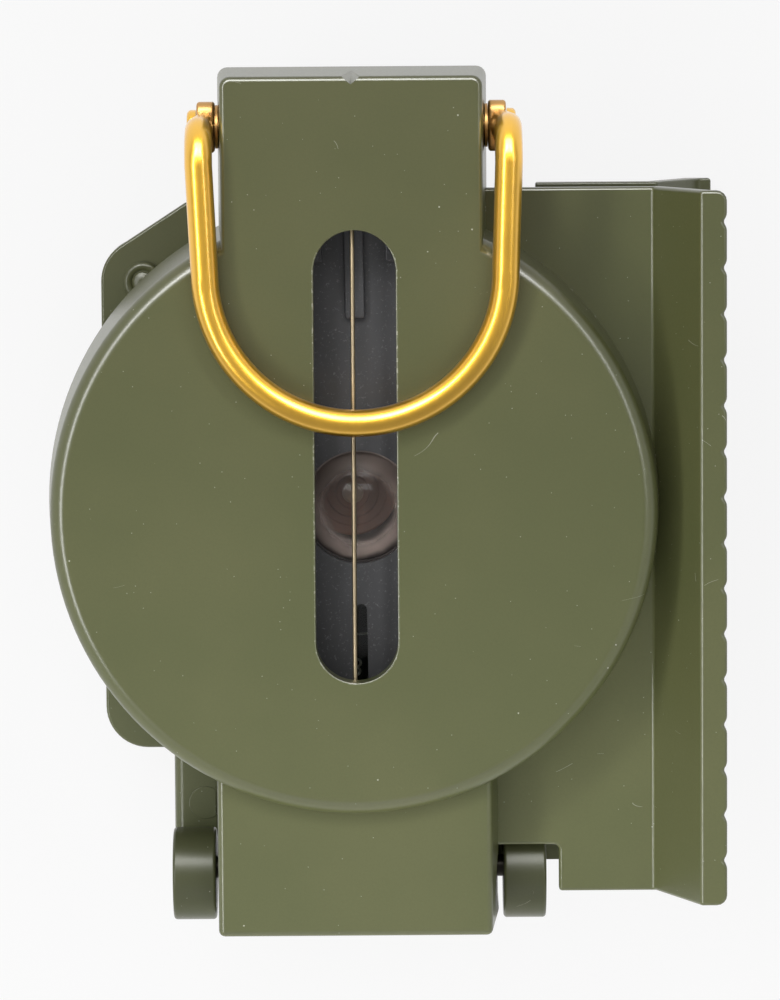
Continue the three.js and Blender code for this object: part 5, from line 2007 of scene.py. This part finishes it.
@dataclass
class Studio:
    """The floor, the soft lights and the camera."""

    target: Spot = (3.15, 1.25, 26.0)
    distance: float = 465.0
    pitch: float = 6.0
    roll: float = -0.4
    lens: float = 192.6
    sensor: float = 36.0
    clip: Flat = (0.01, 20.0)
    aim: Spot = (0.0, 0.0, 0.02)
    floor_size: float = 6.0
    floor_height: float = -0.0002
    backdrop: Colour = (1.0, 1.0, 1.0, 1.0)
    floor_colour: Colour = (0.6, 0.6, 0.6, 1.0)
    sky: tuple[Flat, ...] = ((0.0, 0.93), (0.12, 0.93), (0.3, 0.4), (1.0, 0.28))
    shadow_kept: float = 0.12
    world_level: float = 0.04
    arc_radius: float = 0.34
    arc_height: float = 0.42
    left_arc: tuple[float, float, int] = (98.0, 214.0, 7)
    left_level: float = 8.0
    left_width: float = 0.085
    right_arc: tuple[float, float, int] = (0.0, 82.0, 5)
    right_level: float = 5.0
    right_width: float = 0.055
    fill_place: Spot = (0.0, -0.14, 0.13)
    fill_size: float = 0.16
    fill_power: float = 0.2
    overhead_place: Spot = (0.0, 0.0, 0.6)
    overhead_size: float = 0.5
    overhead_level: float = 0.94
    card_place: Spot = (0.0, 0.34, 0.4)
    card_size: Flat = (0.5, 0.3)
    card_level: float = 7.0

    def _seen(self, board: Board) -> Signal:
        """The rays that show the background: from the camera, a mirror or glass.

        Args:
            board: the node tree it is used on.

        Returns:
            1 for these rays and 0 for others.
        """
        path = board.node("ShaderNodeLightPath", output="Is Camera Ray")
        either = path.maths("MAXIMUM", path.other("Is Glossy Ray"))
        return either.maths("MAXIMUM", path.other("Is Transmission Ray"))

    def _floor(self) -> None:
        """A pale floor that keeps a soft shadow."""
        clear_bench()
        bpy.ops.mesh.primitive_plane_add(size=self.floor_size, location=(0, 0, self.floor_height))
        floor = bpy.context.object
        floor.name = "studio_floor"
        material = bpy.data.materials.new("pale_floor")
        material.use_nodes = True
        board = Board(material.node_tree)
        matte = board.node("ShaderNodeBsdfDiffuse", None, {"Color": self.floor_colour})
        bright = board.node("ShaderNodeEmission", None, {"Color": self.backdrop, "Strength": 1.0})
        share = self._seen(board) * (1 - self.shadow_kept)
        board.node("ShaderNodeOutputMaterial", None, {
            "Surface": board.node("ShaderNodeMixShader", None, {0: share, 1: matte, 2: bright})})
        floor.data.materials.append(material)

    def _world(self) -> None:
        """Soft light from all round, with a white background."""
        world = bpy.data.worlds.new("studio")
        world.use_nodes = True
        bpy.context.scene.world = world
        board = Board(world.node_tree)
        height = board.node("ShaderNodeSeparateXYZ", None, {0: board.place("Generated")}, 2)
        stops = [(place, (grey, grey, grey)) for place, grey in self.sky]
        sky = board.node("ShaderNodeValToRGB", {"stops": stops}, {0: height})
        soft = board.node("ShaderNodeBackground", None, {"Color": (1, 1, 1, 1), "Strength": self.world_level})
        seen = board.node("ShaderNodeBackground", None, {"Color": sky, "Strength": 1.0})
        board.node("ShaderNodeOutputWorld", None, {
            "Surface": board.node("ShaderNodeMixShader", None, {0: self._seen(board), 1: soft, 2: seen})})

    def _lights(self) -> None:
        """Two arcs of soft panels, a panel overhead, a fill from the hinge's side and a card for shine."""
        self._arc("left", self.left_arc, self.left_width, self.left_level)
        self._arc("right", self.right_arc, self.right_width, self.right_level)
        wide = self.overhead_size
        above = self._panel("overhead", self.overhead_place, (wide, wide),
                            self.overhead_level * math.pi * wide ** 2)
        above.visible_glossy = False
        above.visible_transmission = False
        card = self._panel("card", self.card_place, self.card_size,
                           self.card_level * math.pi * self.card_size[0] * self.card_size[1])
        card.visible_diffuse = False
        fill = self._panel("fill", self.fill_place, (self.fill_size, self.fill_size), self.fill_power)
        fill.visible_glossy = False
        fill.visible_transmission = False

    def _arc(self, name: str, span: tuple[float, float, int], width: float, level: float) -> None:
        """Panels side by side along an arc.

        Args:
            name: the arc's name.
            span: its first and last direction in degrees, and how many panels it has.
            width: how wide the panels are, in metres.
            level: how bright their faces are.
        """
        first, last, count = span
        step = math.radians(last - first) / count
        length = self.arc_radius * step
        for number in range(count):
            turn = math.radians(first) + (number + 0.5) * step
            place = (self.arc_radius * math.cos(turn), self.arc_radius * math.sin(turn), self.arc_height)
            self._panel(f"{name}_{number + 1}", place, (length, width), level * math.pi * length * width)

    def _panel(self, name: str, place: Spot, size: Flat, power: float) -> bpy.types.Object:
        """One soft panel turned to the compass.

        Args:
            name: its name.
            place: where it hangs, in metres.
            size: its two sides, in metres.
            power: its power in watts.

        Returns:
            The panel.
        """
        clear_bench()
        bpy.ops.object.light_add(type="AREA", location=place)
        lamp = bpy.context.object
        lamp.name = name
        lamp.data.shape = "RECTANGLE"
        lamp.data.size, lamp.data.size_y = size
        lamp.data.energy = power
        toward = Vector(self.aim) - Vector(place)
        lamp.rotation_euler = toward.to_track_quat("-Z", "Y").to_euler()
        lamp.visible_camera = False
        return lamp

    def _camera(self) -> None:
        """The camera, over the case and a little towards the thumb loop."""
        target = Vector(self.target) * MM
        tilt = math.radians(self.pitch)
        eye = target + Vector((0, math.sin(tilt), math.cos(tilt))) * self.distance * MM
        bpy.ops.object.camera_add(location=eye)
        camera = bpy.context.object
        camera.name = "front_camera"
        ahead = (target - eye).normalized()
        right = ahead.cross(Vector((0, 1, 0))).normalized()
        above = right.cross(ahead)
        turn = Matrix((right, above, -ahead)).transposed()
        turn = turn @ Matrix.Rotation(math.radians(self.roll), 3, "Z")
        camera.matrix_world = Matrix.Translation(eye) @ turn.to_4x4()
        camera.data.lens = self.lens
        camera.data.sensor_width = self.sensor
        camera.data.clip_start, camera.data.clip_end = self.clip
        bpy.context.scene.camera = camera

    def dress(self) -> None:
        """Sets up the floor, the lights and the camera."""
        self._floor()
        self._world()
        self._lights()
        self._camera()
        bpy.context.scene.view_settings.view_transform = "Standard"


def main() -> None:
    """Builds the compass piece by piece."""
    logging.basicConfig(level=logging.INFO, format="%(name)s: %(message)s")
    Studio().dress()
    for assembly in (Lid(), SightWire(), ThumbLoop(), BaseFrame(), BottomCover(), HingePins(), LensArm(),
                     Bezel(), Dial(), Capsule()):
        assembly.dress()
        log.info("%s is done", type(assembly).__name__)
    clear_bench()


if __name__ == "__main__":
    main()
